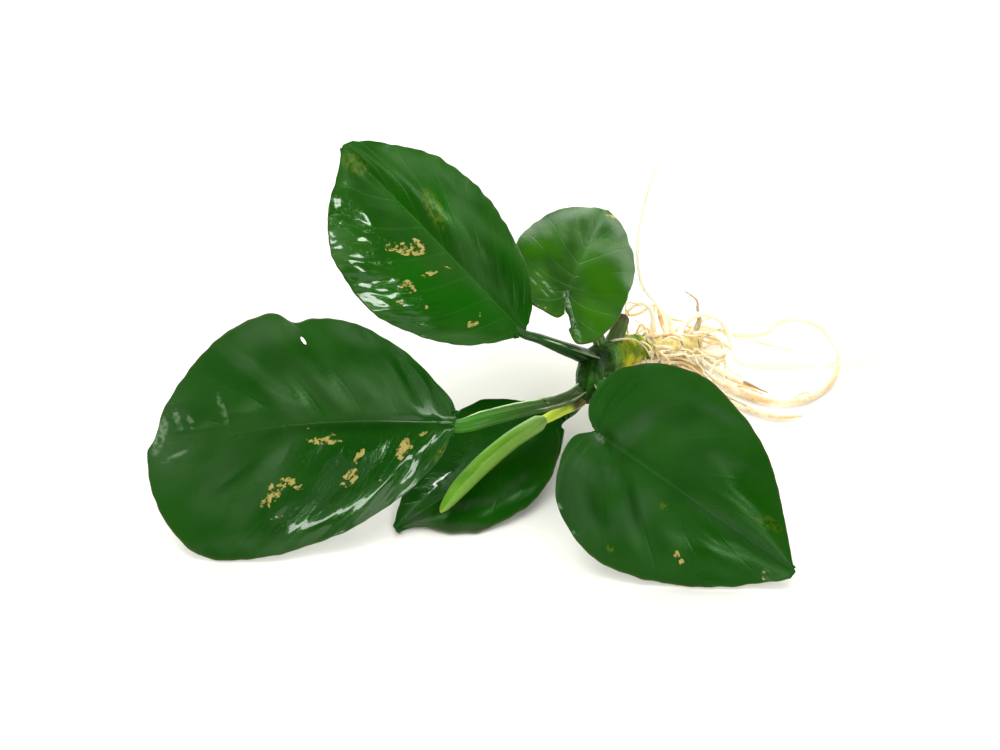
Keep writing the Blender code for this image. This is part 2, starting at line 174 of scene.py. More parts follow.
# %% Arithmetic on sockets
# Sockets that several kinds of value share a name with are called by number. On the Mix node
# these are the factor and the two colours, and then come three outputs.
MIX_INPUTS = (0, 6, 7)
MIXED_COLOUR = 2
STORED_NUMBER = 2
OBJECT_PLACE = 3


class Signal:
    """The output of a shader node, which ordinary arithmetic can be written with."""

    def __init__(self, skin, socket):
        self.skin = skin
        self.socket = socket

    def combine(self, operation, *values):
        """A Math node that works on the values."""
        inputs = dict(enumerate(values))
        return self.skin.add("ShaderNodeMath", {"operation": operation}, inputs)

    def __add__(self, other):
        return self.combine("ADD", self, other)

    def __radd__(self, other):
        return self.combine("ADD", other, self)

    def __sub__(self, other):
        return self.combine("SUBTRACT", self, other)

    def __rsub__(self, other):
        return self.combine("SUBTRACT", other, self)

    def __mul__(self, other):
        return self.combine("MULTIPLY", self, other)

    def __rmul__(self, other):
        return self.combine("MULTIPLY", other, self)

    def __abs__(self):
        return self.combine("ABSOLUTE", self)


class Skin:
    """A material that is built node by node around its Principled BSDF."""

    def __init__(self, name):
        self.material = bpy.data.materials.new(name)
        self.material.use_nodes = True
        self.tree = self.material.node_tree
        self.shader = self.tree.nodes["Principled BSDF"]

    def add(self, kind, settings=None, inputs=None, output=0):
        """Add a node: settings first, then what its sockets get. Returns one of its outputs."""
        node = self.tree.nodes.new(kind)
        for name, value in (settings or {}).items():
            setattr(node, name, value)
        for socket, value in (inputs or {}).items():
            self.feed(node.inputs[socket], value)
        return Signal(self, node.outputs[output])

    def feed(self, socket, value):
        """Wire a signal to a socket, or set a plain value on it."""
        if isinstance(value, Signal):
            self.tree.links.new(value.socket, socket)
        else:
            socket.default_value = value

    def give(self, **values):
        """Feed the Principled BSDF: Base_Color=... stands for its socket Base Color."""
        for name, value in values.items():
            self.feed(self.shader.inputs[name.replace("_", " ")], value)

    def rise(self, value, low, high):
        """A soft step from 0 where the value is low to 1 where it is high."""
        inputs = {"Value": value, "From Min": low, "From Max": high}
        return self.add("ShaderNodeMapRange", {"interpolation_type": "SMOOTHSTEP"}, inputs)

    def mix(self, share, first, second):
        """A colour between two, by share."""
        factor, first_colour, second_colour = MIX_INPUTS
        inputs = {factor: share, first_colour: first, second_colour: second}
        return self.add("ShaderNodeMix", {"data_type": "RGBA"}, inputs, MIXED_COLOUR)

    def noise(self, place, scale, detail=3.0, roughness=0.5, distortion=0.0):
        """Soft random values around one half."""
        inputs = {
            "Vector": place,
            "Scale": scale,
            "Detail": detail,
            "Roughness": roughness,
            "Distortion": distortion,
        }
        return self.add("ShaderNodeTexNoise", None, inputs)

    def cells(self, place, scale):
        """A net of cells, by the distance to the nearest edge."""
        settings = {"feature": "DISTANCE_TO_EDGE"}
        return self.add("ShaderNodeTexVoronoi", settings, {"Vector": place, "Scale": scale})

    def grain(self, along, across):
        """A place made of two numbers, for patterns that follow veins or fibres."""
        return self.add("ShaderNodeCombineXYZ", None, {"X": along, "Y": across})

    def place(self):
        """Where a point is on the plant, in metres."""
        return self.add("ShaderNodeTexCoord", None, None, OBJECT_PLACE)

    def along_and_across(self):
        """The two halves of the piece's own UV map."""
        uv = self.add("ShaderNodeUVMap", {"uv_map": "UVMap"})
        along = self.add("ShaderNodeSeparateXYZ", None, {"Vector": uv})
        across = Signal(self, along.socket.node.outputs["Y"])
        return along, across

    def painted(self, name):
        """A number that the modelling step stored on the mesh."""
        return self.add("ShaderNodeAttribute", {"attribute_name": name}, None, STORED_NUMBER)

    def relief(self, height, distance, strength=1.0):
        """Bump from a height between 0 and 1, with the distance in millimetres."""
        inputs = {"Height": height, "Distance": distance * MM, "Strength": strength}
        return self.add("ShaderNodeBump", None, inputs)


def colour(red, green, blue):
    """A colour as a socket wants it."""
    return (red, green, blue, 1.0)


print("material tools ready")

# %% [markdown]
# ## Curves and grids
#
# Leaves, stalks and roots all start as a flat grid, the way a sheet of modelling clay does. A
# blade is the grid with its edges pulled out to the leaf's outline, and a stalk is the grid
# rolled round a curved line. The grid brings its own UV map along, so patterns can follow the
# veins and the fibres. The helpers draw a smooth curve through a few measured points and walk
# along it in equal steps.

# %% Curves and grids
WELD_DISTANCE = 0.002
# Points between two measured ones.
CURVE_STEPS = 8


def smooth(points, steps):
    """Points of a smooth curve through the given ones, so many to each span."""
    knots = [Vector(point) for point in points]
    knots = [2 * knots[0] - knots[1], *knots, 2 * knots[-1] - knots[-2]]
    curve = []
    for before, start, end, after in zip(knots, knots[1:], knots[2:], knots[3:]):
        for step in range(steps):
            share = step / steps
            straight = (end - before) * share
            square = (2 * before - 5 * start + 4 * end - after) * share**2
            cube = (3 * start - before - 3 * end + after) * share**3
            curve.append(start + 0.5 * (straight + square + cube))
    curve.append(knots[-2])
    return curve


def walked(curve, distances):
    """Points at the given distances along a curve, which rise."""
    places = []
    index = 0
    passed = 0.0
    span = (curve[1] - curve[0]).length
    for wanted in distances:
        while index < len(curve) - 2 and passed + span < wanted:
            passed += span
            index += 1
            span = (curve[index + 1] - curve[index]).length
        share = min((wanted - passed) / span, 1.0) if span else 0.0
        places.append(curve[index].lerp(curve[index + 1], share))
    return places


def curve_length(curve):
    """How long a curve is, point to point."""
    return sum((end - start).length for start, end in zip(curve, curve[1:]))


def evenly_spaced(curve, count):
    """Points at equal steps along a curve, both ends included."""
    total = curve_length(curve)
    return walked(curve, [total * step / count for step in range(count + 1)])


def soft_step(value, low, high):
    """0 below low, 1 above high, and an easy slope between."""
    share = min(max((value - low) / (high - low), 0.0), 1.0)
    return share * share * (3 - 2 * share)


def new_grid(name, rows, columns):
    """A flat grid from -1 to 1, the only thing selected."""
    bpy.ops.object.select_all(action="DESELECT")
    bpy.ops.mesh.primitive_grid_add(x_subdivisions=rows, y_subdivisions=columns, size=2.0)
    grid = bpy.context.object
    grid.name = name
    return grid


def weld(piece):
    """Merge the points that lie on each other, and turn all faces outwards."""
    bpy.ops.object.mode_set(mode="EDIT")
    bpy.ops.mesh.select_all(action="SELECT")
    bpy.ops.mesh.remove_doubles(threshold=WELD_DISTANCE * MM)
    bpy.ops.mesh.normals_make_consistent(inside=False)
    bpy.ops.object.mode_set(mode="OBJECT")


def hand_over(piece, nodes, skin):
    """Give a finished piece its skin, and let it stand for its solids, if it has any."""
    piece.data.materials.append(skin.material)
    bpy.ops.object.shade_smooth()
    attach(piece, "root")
    if nodes:
        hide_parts(*nodes)
    print(f"{piece.name}: {len(piece.data.polygons)} faces")


print("modelling tools ready")

# %% [markdown]
# ## The leaf table
#
# An anubias leaf has one strong midrib, and side veins that leave it at an angle and bend
# towards the tip. Between two veins the blade swells a little, like a quilt. Each leaf is
# described by where its stalk ends, how it is turned, its outline in its own plane, and how it
# is bent. Marks are placed in the same plane: X runs from the stalk to the tip and Y to the
# leaf's left.

# %% Leaf table


@dataclass
class Mark:
    """A soft oval on a blade: centre, half its length and width, its angle, and how strong."""

    x: float
    y: float
    long: float
    wide: float
    angle: float = 0.0
    strength: float = 1.0

    def distance(self, place):
        """How far out a point is, with 1 on the oval."""
        turn = math.radians(self.angle)
        ahead, aside = place[0] - self.x, place[1] - self.y
        along = (ahead * math.cos(turn) + aside * math.sin(turn)) / self.long
        across = (aside * math.cos(turn) - ahead * math.sin(turn)) / self.wide
        return math.hypot(along, across)

    def hill(self, place):
        """A smooth hill over the oval."""
        return self.strength * math.exp(-self.distance(place) ** 2)

    def patch(self, place, inner, outer):
        """A patch that fades from one share of the oval to another."""
        return self.strength * (1.0 - soft_step(self.distance(place), inner, outer))


@dataclass
class Leaf:
    """One blade: its place, outline and bend as in the solids, and the details that they lack."""

    base: tuple
    turn: tuple
    length: float
    left_margin: list
    right_margin: list
    # How strongly the rows fan out, and how far midrib, blade, halves and tip bend, in millimetres.
    fan: float
    midrib_bend: float
    swell: float
    curl: tuple
    droop: float
    # Side veins in each half, how far they lean to the tip, and how much the blade quilts.
    veins: int = 8
    lean: tuple = (0.15, 0.15)
    quilt: tuple = (0.25, 0.25)
    groove: float = 0.3
    # The margin's wave: height and number of waves.
    wave: tuple = (0.25, 5.0)
    # How far the edge beside the stalk bulges outwards.
    base_bulge: float = 0.9
    # How uneven the blade is, in millimetres.
    uneven: float = 0.35
    dents: list = field(default_factory=list)
    # Dead specks, wet film, olive stains, painted sheen, clean green and dark green of painted shade,
    # painted sheen streaks, holes.
    specks: list = field(default_factory=list)
    wet: list = field(default_factory=list)
    faded: list = field(default_factory=list)
    sheen_marks: list = field(default_factory=list)
    clean_green_shade: list = field(default_factory=list)
    shaded: list = field(default_factory=list)
    sheen_streaks: list = field(default_factory=list)
    holes: list = field(default_factory=list)
    # How clearly the side veins show as pale lines, and how high the ripples of wet parts are.
    vein_lines: float = 0.10
    ripples: float = 0.03


LEAVES = {
    "leaf_back": Leaf(
        base=(4.5, -30.3, 32.0),
        turn=(135.4, 24.3, -27.4),
        length=64.0,
        left_margin=[
            (-0.5, 2.5), (1.5, 6.5), (5.0, 11.7), (10.5, 16.4), (21.5, 21.8), (29.5, 22.6),
            (37.5, 21.6), (44.0, 19.6), (51.8, 14.0), (59.3, 5.1), (63.4, 0.8),
        ],
        right_margin=[
            (-0.1, -2.6), (2.5, -5.7), (7.4, -9.3), (13.3, -12.3), (26.6, -15.9),
            (33.6, -16.4), (41.1, -15.9), (47.2, -14.3), (53.6, -10.7), (58.5, -7.1),
            (63.2, -2.4),
        ],
        fan=1.3,
        midrib_bend=0.0,
        swell=1.8,
        curl=(2.0, -1.5),
        droop=2.0,
        lean=(0.12, 0.35),
        quilt=(0.10, 0.06),
        dents=[Mark(34.9, -5.8, 11.0, 3.0, 156.0, -0.1), Mark(12.3, -7.6, 8.0, 2.0, 168.0, -0.2)],
        specks=[
            Mark(32.0, 6.7, 6.6, 2.2, 43.0), Mark(31.7, 3.6, 2.4, 1.2, 22.0),
            Mark(24.0, 12.5, 2.6, 2.0, 17.0), Mark(23.7, 7.0, 3.0, 1.1, 79.0),
            Mark(22.4, 16.4, 1.5, 0.5, 27.0), Mark(17.6, 12.6, 0.8, 0.6),
            Mark(7.8, 7.3, 2.0, 1.2, 71.0), Mark(8.4, 4.6, 1.1, 0.5, 148.0),
            Mark(22.5, 2.5, 1.9, 0.4, 24.0),
        ],
        wet=[Mark(38.0, 15.0, 25.0, 8.5, 172.0), Mark(20.0, 14.0, 10.0, 5.0, 20.0)],
        faded=[Mark(36.0, -4.8, 6.0, 2.0, 163.0), Mark(57.8, 1.2, 4.0, 2.6)],
        sheen_marks=[
            Mark(42.3, -10.3, 13.0, 3.6, 23.0), Mark(32.2, -9.4, 15.0, 2.2, 2.0),
            Mark(18.6, -1.8, 11.0, 2.2, 166.0), Mark(44.0, 18.1, 6.0, 2.4, 157.0),
            Mark(7.1, 11.7, 9.5, 1.5, 46.0),
        ],
        clean_green_shade=[
            Mark(15.4, 7.6, 15.0, 5.5, 37.0), Mark(23.6, 9.6, 10.0, 4.6, 3.0),
            Mark(12.3, -7.6, 7.5, 2.4, 168.0), Mark(4.5, -3.9, 6.0, 3.0, 167.0),
            Mark(34.9, -5.8, 10.5, 2.6, 156.0), Mark(39.5, -0.5, 13.0, 3.4, 159.0, 0.5),
        ],
        shaded=[
            Mark(10.0, -5.0, 15.0, 4.6, 172.0), Mark(31.0, -2.6, 16.0, 2.4, 176.0, 0.7),
            Mark(37.0, 4.0, 14.0, 3.4, 8.0, 0.5), Mark(27.0, -13.4, 15.0, 2.6, 4.0, 0.5),
            Mark(53.0, 4.0, 8.0, 3.0, 150.0, 0.5),
        ],
        vein_lines=0.16,
        ripples=0.22,
    ),
    "leaf_small": Leaf(
        base=(15.1, -17.5, 34.0),
        turn=(74.6, 4.8, 10.0),
        length=37.2,
        left_margin=[
            (-7.5, -1.6), (-9.4, -0.3), (-8.6, 3.0), (-7.2, 6.2), (-2.2, 10.4), (6.2, 14.1),
            (14.8, 15.6), (22.8, 14.3), (28.4, 12.0), (32.4, 9.3), (35.3, 5.8), (37.0, 1.8),
        ],
        right_margin=[
            (-9.3, -4.3), (-14.8, -5.5), (-16.0, -7.5), (-13.7, -10.3), (-6.3, -13.0),
            (1.6, -13.7), (13.8, -13.2), (19.6, -12.2), (24.9, -10.2), (30.0, -7.8),
            (33.7, -5.5), (37.0, -1.4),
        ],
        fan=2.0,
        base_bulge=0.0,
        midrib_bend=0.0,
        swell=1.0,
        curl=(-1.0, -1.0),
        droop=1.0,
        veins=7,
        lean=(0.2, 0.2),
        quilt=(0.06, 0.06),
        wave=(0.2, 4.0),
        specks=[Mark(34.6, -2.7, 2.4, 1.1, 93.0), Mark(-7.6, 3.5, 2.2, 1.2, 68.0, 0.75)],
        sheen_marks=[
            Mark(21.4, 10.5, 5.0, 1.5, 23.0), Mark(23.5, 6.4, 6.2, 1.8, 19.0),
            Mark(26.2, 3.6, 5.4, 1.8, 20.0), Mark(21.4, -4.3, 6.2, 4.2, 95.0),
            Mark(14.8, -11.6, 8.0, 1.8, 16.0), Mark(32.7, 4.6, 7.0, 3.0, 111.0, 0.7),
            Mark(28.0, 1.0, 13.0, 7.0, 95.0, 0.55),
        ],
        shaded=[
            Mark(2.0, 0.5, 8.0, 4.0, 20.0, 0.8),
            Mark(4.0, 3.4, 9.0, 1.8, 30.0, 0.9), Mark(-8.0, -4.0, 6.0, 2.6, 20.0, 0.6),
            Mark(18.0, 13.0, 9.0, 2.0, 170.0, 0.5), Mark(16.0, 3.0, 9.0, 1.4, 15.0, 0.6),
            Mark(20.0, -8.6, 8.0, 2.0, 160.0, 0.4),
        ],
        clean_green_shade=[
            Mark(13.1, 10.7, 6.5, 4.6, 122.0), Mark(7.7, -6.8, 10.5, 5.0, 39.0),
            Mark(-6.0, -8.4, 6.5, 4.2, 60.0),
        ],
        sheen_streaks=[
            Mark(0.9, 5.2, 5.0, 0.5, 47.0), Mark(-1.0, 6.2, 4.0, 0.4, 51.0),
            Mark(-4.0, -1.5, 4.6, 0.8, 24.0), Mark(-11.7, -5.2, 5.2, 0.8, 27.0, 0.8),
        ],
        vein_lines=0.02,
    ),
    "leaf_left": Leaf(
        base=(-10.6, -52.8, 21.6),
        turn=(-171.3, -0.9, -56.8),
        length=66.2,
        left_margin=[
            (1.0, 4.2), (3.8, 7.8), (7.7, 11.3), (12.4, 14.6), (23.7, 20.3), (36.5, 23.8),
            (49.1, 24.8), (54.3, 24.0), (58.4, 22.1), (63.4, 15.8), (66.0, 7.9), (66.3, 1.5),
        ],
        right_margin=[
            (-1.2, -3.1), (0.0, -6.0), (6.9, -15.0), (11.4, -19.0), (17.3, -23.1),
            (22.5, -25.1), (27.5, -25.8), (31.9, -25.2), (35.4, -27.5), (38.7, -27.5),
            (42.7, -26.3), (49.8, -22.6), (55.7, -16.9), (61.2, -10.0), (64.2, -3.2),
            (66.0, -0.8),
        ],
        fan=1.3,
        midrib_bend=-3.0,
        swell=2.2,
        curl=(2.5, -1.5),
        droop=2.0,
        quilt=(0.12, 0.24),
        specks=[
            Mark(27.9, 1.0, 5.6, 1.2, 171.0), Mark(31.2, -2.1, 1.0, 0.4, 149.0),
            Mark(26.2, -0.2, 2.0, 0.5, 170.0), Mark(40.0, 11.1, 5.2, 2.2, 49.0),
            Mark(35.4, 9.5, 3.2, 1.4, 144.0), Mark(39.8, 16.3, 2.6, 0.6, 4.0),
            Mark(23.3, 9.5, 3.6, 1.8, 44.0), Mark(20.9, 5.0, 3.0, 1.0, 53.0),
            Mark(10.9, 4.3, 3.9, 1.9, 50.0), Mark(6.6, 1.6, 1.9, 0.5, 21.0),
            Mark(3.0, 6.0, 2.0, 0.6, 50.0, 0.8), Mark(16.8, 10.7, 0.7, 0.6),
        ],
        wet=[
            Mark(18.0, 9.5, 21.0, 9.0, 31.0), Mark(35.0, 17.0, 9.0, 4.6, 20.0),
            Mark(24.0, 4.0, 16.0, 5.0, 0.0),
        ],
        faded=[Mark(3.0, 6.0, 2.4, 0.9, 50.0)],
        sheen_marks=[
            Mark(33.0, -24.5, 3.6, 1.6, 116.0), Mark(10.6, -16.4, 3.6, 1.8, 127.0),
            Mark(18.4, -21.5, 6.6, 2.6, 153.0), Mark(44.0, -17.9, 7.0, 2.0, 139.0),
            Mark(36.4, -9.8, 8.0, 2.0, 128.0), Mark(16.6, -7.0, 13.0, 4.0, 162.0, 0.7),
            Mark(60.8, -3.0, 11.0, 6.5, 85.0), Mark(42.0, 8.4, 13.0, 3.2, 48.0, 0.8),
            Mark(43.0, 21.7, 16.0, 2.8, 178.0, 0.8), Mark(17.4, 15.8, 15.0, 2.2, 28.0),
            Mark(39.5, -23.5, 6.5, 3.6, 4.0, 0.8), Mark(52.0, 8.0, 9.0, 5.0, 60.0, 0.6),
        ],
        shaded=[
            Mark(20.0, -2.0, 18.0, 1.6, 177.0, 0.8), Mark(4.6, -6.0, 7.0, 3.0, 118.0, 0.7),
            Mark(30.0, 14.5, 13.0, 2.0, 22.0, 0.5), Mark(28.8, -11.0, 10.0, 1.4, 128.0, 0.7),
            Mark(45.0, 2.0, 12.0, 3.6, 30.0, 0.5), Mark(36.0, -18.0, 8.0, 2.6, 130.0, 0.4),
        ],
        clean_green_shade=[
            Mark(31.8, -8.6, 7.5, 1.4, 136.0), Mark(26.0, -12.9, 10.0, 1.8, 125.0),
            Mark(9.6, -12.7, 6.0, 1.6, 117.0), Mark(3.1, -4.8, 6.5, 3.2, 124.0),
            Mark(19.4, -0.8, 15.5, 1.9, 174.0), Mark(22.0, 5.8, 15.5, 6.4, 6.0),
            Mark(36.0, 13.0, 11.0, 4.4, 22.0), Mark(47.5, 6.9, 7.0, 1.8, 30.0),
            Mark(44.1, -13.3, 8.5, 4.0, 131.0, 0.45),
        ],
        sheen_streaks=[
            Mark(59.1, -7.2, 3.4, 0.6, 104.0), Mark(56.2, -5.8, 1.6, 0.6, 108.0),
            Mark(49.2, -8.0, 3.8, 0.6, 102.0, 0.7), Mark(60.3, 1.2, 3.2, 0.5, 21.0, 0.8),
            Mark(63.0, -3.5, 4.6, 1.2, 68.0),
        ],
        dents=[
            Mark(14.0, 9.2, 17.0, 2.6, 33.0, 0.75), Mark(33.0, 18.6, 9.0, 4.2, 20.0, 0.55),
            Mark(31.8, -8.6, 8.0, 1.7, 136.0, -0.20), Mark(26.0, -12.9, 10.5, 1.9, 125.0, -0.24),
            Mark(9.6, -12.7, 7.0, 1.6, 117.0, -0.18),
            Mark(47.5, 6.9, 8.0, 1.8, 30.0, -0.3), Mark(40.0, -13.5, 14.0, 2.4, 133.0, 0.2),
        ],
        holes=[Mark(30.4, -21.1, 1.0, 0.36, 118.0)],
        vein_lines=0.03,
        ripples=0.09,
    ),
    "leaf_under": Leaf(
        base=(15.1, -31.8, 10.0),
        turn=(-139.9, -10.3, -9.2),
        length=50.4,
        left_margin=[
            (2.0, 0.8), (4.8, 1.8), (7.1, 5.2), (13.5, 10.4), (17.9, 12.4), (22.6, 13.6),
            (27.1, 13.9), (34.6, 12.9), (38.4, 11.3), (41.9, 8.3), (44.6, 3.9), (47.9, 1.3),
            (50.2, 0.5),
        ],
        right_margin=[
            (0.6, -1.8), (2.6, -6.0), (5.9, -11.0), (10.2, -15.2), (13.3, -16.6),
            (18.8, -16.8), (28.5, -14.8), (36.2, -11.6), (44.9, -5.3), (49.9, -1.2),
        ],
        fan=1.3,
        midrib_bend=0.0,
        swell=-1.0,
        curl=(-0.8, 0.8),
        droop=0.0,
        quilt=(0.03, 0.03),
        groove=0.15,
        wave=(0.1, 4.0),
        uneven=0.12,
        wet=[Mark(29.0, -7.0, 20.0, 7.0, 165.0), Mark(39.5, 9.0, 7.8, 1.8, 141.0, 0.4)],
        sheen_marks=[
            Mark(22.3, 7.4, 5.0, 1.6, 5.0), Mark(32.7, 5.2, 7.0, 1.4, 155.0),
            Mark(39.5, 9.0, 7.8, 1.8, 141.0), Mark(45.2, 1.6, 3.4, 2.6, 133.0),
        ],
    ),
    "leaf_right": Leaf(
        base=(21.1, -62.8, 25.9),
        turn=(-26.8, -24.3, 44.1),
        length=51.0,
        left_margin=[
            (-2.0, 0.4), (-4.5, 2.6), (-5.9, 6.6), (-4.9, 12.9), (0.3, 18.8), (6.3, 21.9),
            (12.8, 23.2), (20.5, 21.8), (28.0, 19.4), (34.9, 15.2), (43.2, 7.5), (50.2, 0.5),
        ],
        right_margin=[
            (-1.8, -0.9), (-3.7, -2.9), (-4.3, -5.2), (-3.5, -9.0), (-1.7, -13.1),
            (1.6, -17.6), (8.6, -21.2), (16.1, -22.3), (24.1, -20.4), (32.4, -16.6),
            (40.0, -11.7), (48.3, -4.4), (50.9, -1.6),
        ],
        fan=1.9,
        base_bulge=0.0,
        midrib_bend=0.0,
        swell=2.0,
        curl=(-2.0, -1.5),
        droop=2.0,
        veins=7,
        lean=(0.2, 0.2),
        quilt=(0.16, 0.16),
        specks=[
            Mark(28.3, -11.5, 1.2, 1.0, 158.0), Mark(30.2, -12.2, 1.1, 0.9),
            Mark(46.2, -4.6, 1.6, 1.0, 151.0, 0.8),
        ],
        faded=[
            Mark(16.2, -18.6, 0.9, 0.8), Mark(20.2, -4.7, 1.5, 0.8, 126.0),
            Mark(40.6, 5.1, 3.4, 1.6, 9.0, 0.5),
        ],
        sheen_marks=[
            Mark(5.6, 4.4, 7.5, 2.4, 75.0), Mark(7.2, -6.2, 3.0, 2.0, 151.0),
            Mark(0.4, -1.4, 2.4, 1.4, 168.0), Mark(18.4, 18.3, 6.5, 1.6, 8.0, 0.7),
            Mark(25.1, 10.5, 5.0, 1.7, 19.0, 0.8), Mark(35.9, 0.1, 13.0, 1.9, 3.0, 0.7),
            Mark(5.2, -15.1, 11.0, 4.4, 145.0, 0.8), Mark(15.5, -10.5, 8.0, 3.6, 72.0, 0.7),
            Mark(2.3, -8.0, 5.0, 2.4, 172.0),
        ],
        shaded=[
            Mark(2.2, 0.6, 5.0, 1.6, 160.0, 0.9), Mark(8.7, -13.3, 5.0, 2.2, 145.0, 0.8),
            Mark(14.8, -8.4, 6.4, 1.6, 138.0, 0.8), Mark(10.0, 12.0, 9.0, 3.0, 30.0, 0.4),
            Mark(2.0, -15.0, 8.0, 3.0, 130.0, 0.5),
        ],
        clean_green_shade=[
            Mark(-0.9, 10.1, 7.5, 4.2, 59.0), Mark(-1.0, 4.8, 4.0, 2.4, 81.0),
            Mark(4.1, -1.7, 2.8, 1.4, 150.0), Mark(8.7, -13.3, 4.2, 1.8, 145.0),
            Mark(14.8, -8.4, 5.8, 1.2, 138.0), Mark(33.5, -6.8, 10.0, 5.6, 5.0),
            Mark(38.0, -10.4, 8.0, 2.4, 32.0), Mark(34.1, 6.5, 9.0, 3.6, 174.0),
            Mark(40.6, 5.1, 3.4, 2.2, 9.0),
        ],
        sheen_streaks=[
            Mark(2.2, -17.5, 0.8, 0.5, 164.0), Mark(8.2, -20.2, 0.8, 0.5, 26.0),
            Mark(46.6, -4.2, 1.8, 1.0, 151.0, 0.5), Mark(0.6, -0.6, 1.8, 0.8, 168.0, 0.5),
        ],
        dents=[
            Mark(8.7, -13.3, 5.0, 1.6, 145.0, -0.25), Mark(14.8, -8.4, 6.2, 1.2, 138.0, -0.22),
            Mark(5.6, 5.4, 8.5, 2.2, 75.0, 0.28), Mark(4.1, -1.7, 3.2, 1.4, 150.0, -0.25),
        ],
        vein_lines=0.02,
    ),
}
print("leaves:", list(LEAVES))

# %% [markdown]
# ## Shaping a blade
#
# The rows of the grid fan out from the midrib like the side veins, so a row number is also a
# place between two veins. That makes the quilting easy: the blade is low where the vein number
# is whole and high halfway. The midrib is a narrow groove on top and a ridge below, which the
# Solidify modifier gives by its thickness group. Where a film of water stands on the blade, its
# ripples are part of the shape too, because they bend the mirrored lamps into streaks. The
# marks are stored on the points, so that the material can find them.

# %% Shape of a blade
BLADE_ROWS = 170
BLADE_COLUMNS = 116
# How far the rows sweep towards the stalk, as a share of the leaf's length.
VEIN_SWEEP = 0.07
RIB_THICKNESS = 1.3
RIB_WIDTH = 1.0
# How thick the blade is between the veins and at the margin, as shares of the rib's thickness.
LAMINA_SHARE = 0.55
MARGIN_SHARE = 0.32
# How far the margin's small scallops reach.
SCALLOP = 0.35
# Ripples of the water film: how many there are across a vein and across the blade.
BROAD_RIPPLES = (3.0, 3.2)
NARROW_RIPPLES = (8.0, 9.0)
NARROW_SHARE = 0.35
CUTTER_DEPTH = 8.0
# Patches fade from the first share of an oval to the second.
PATCH_EDGE = (0.6, 1.2)
PAINTED = ("specks", "wet", "faded", "sheen_marks", "clean_green_shade", "shaded", "sheen_streaks")
# Greens melt into each other: where their patches begin to fade, and where they end.
MELTING = {"sheen_marks": (0.3, 1.4), "clean_green_shade": (0.1, 1.5), "shaded": (0.2, 1.5)}


def vein_number(leaf, row, across, side):
    """Which side vein a point is on: whole on a vein, a half between two."""
    return (row - leaf.lean[side] * across * (2.0 - across)) * leaf.veins


def blade_height(leaf, place, row, across, side):
    """Height of the blade's upper face over its own plane."""
    along = place.x / leaf.length
    body = math.sin(math.pi * min(max(along, 0.0), 1.0))
    height = leaf.swell * math.sin(math.pi * across) * body
    height += leaf.curl[side] * across**2 * body - leaf.droop * along**2
    open_across = soft_step(across, 0.0, 0.25) * (1.0 - soft_step(across, 0.7, 1.0))
    open_along = soft_step(row, 0.02, 0.25) * (1.0 - soft_step(row, 0.85, 1.0))
    between = math.sin(math.pi * vein_number(leaf, row, across, side)) ** 2
    height += leaf.quilt[side] * between * open_across * open_along
    waves_high, waves = leaf.wave
    phase = 2.0 * math.pi * waves * row + 2.0 * side + leaf.length
    height += waves_high * across**5 * math.sin(phase) * soft_step(row, 0.0, 0.15)
    height += sum(dent.hill(place) for dent in leaf.dents)
    film = max((mark.patch(place, *PATCH_EDGE) for mark in leaf.wet), default=0.0)
    if film > 0.0:
        vein = vein_number(leaf, row, across, side)
        broad, narrow = (
            noise.noise(Vector((vein * on_vein, across * on_blade, side * 9.0)))
            for on_vein, on_blade in (BROAD_RIPPLES, NARROW_RIPPLES)
        )
        height += film * leaf.ripples * (broad + narrow * NARROW_SHARE)
    unevenness = noise.noise(Vector((place.x / 11.0, place.y / 9.0, leaf.length)))
    return height + leaf.uneven * unevenness * open_along * soft_step(across, 0.0, 0.3)


def blade_place(leaf, margin, row_number, across, side):
    """A point of one half of the blade, in its own plane, with its height."""
    row = row_number / BLADE_ROWS
    rib_share = row**leaf.fan
    bend = leaf.midrib_bend * math.sin(math.pi * rib_share)
    rib = Vector((leaf.length * rib_share, bend))
    place = rib.lerp(margin[row_number], across)
    from_rib = (place - rib).length
    arch = math.sin(math.pi * across)
    place.x -= VEIN_SWEEP * leaf.length * math.sin(math.pi * row) * arch
    place.x -= leaf.base_bulge * (1.0 - row) ** 12 * 9.0 * across * (1.0 - across) ** 3
    scallop = noise.noise(Vector((row * leaf.length / 2.2, side * 9.0, leaf.length)))
    place += (place - rib).normalized() * (SCALLOP * scallop * across**12)
    height = blade_height(leaf, place, row, across, side)
    rib_line = math.exp(-((from_rib / RIB_WIDTH) ** 2)) * (1.0 - 0.7 * row)
    return Vector((place.x, place.y, height - leaf.groove * rib_line)), rib_line


def turned(leaf):
    """How a blade is turned, for Blender's rotation fields."""
    heading, pitch, roll = (math.radians(angle) for angle in leaf.turn)
    return Euler((roll, -pitch, heading))


def under_blade(leaf, forward, depth, radius):
    """A point of a stalk's route below the blade's midrib."""
    along = turned(leaf).to_matrix() @ Vector((forward, 0.0, -depth))
    return (*(Vector(leaf.base) + along), radius)


def cut_hole(blade, hole):
    """Cut an oval hole through a blade that still lies in its own plane."""
    bpy.ops.object.select_all(action="DESELECT")
    bpy.ops.mesh.primitive_cylinder_add(
        vertices=20, radius=1.0, depth=CUTTER_DEPTH * MM, location=(hole.x * MM, hole.y * MM, 0.0)
    )
    cutter = bpy.context.object
    cutter.scale = (hole.long * MM, hole.wide * MM, 1.0)
    cutter.rotation_euler.z = math.radians(hole.angle)
    bpy.context.view_layer.objects.active = blade
    cut = blade.modifiers.new("hole", "BOOLEAN")
    cut.operation = "DIFFERENCE"
    cut.solver = "EXACT"
    cut.object = cutter
    bpy.ops.object.modifier_apply(modifier=cut.name)
    bpy.data.objects.remove(cutter, do_unlink=True)
    blade.select_set(True)


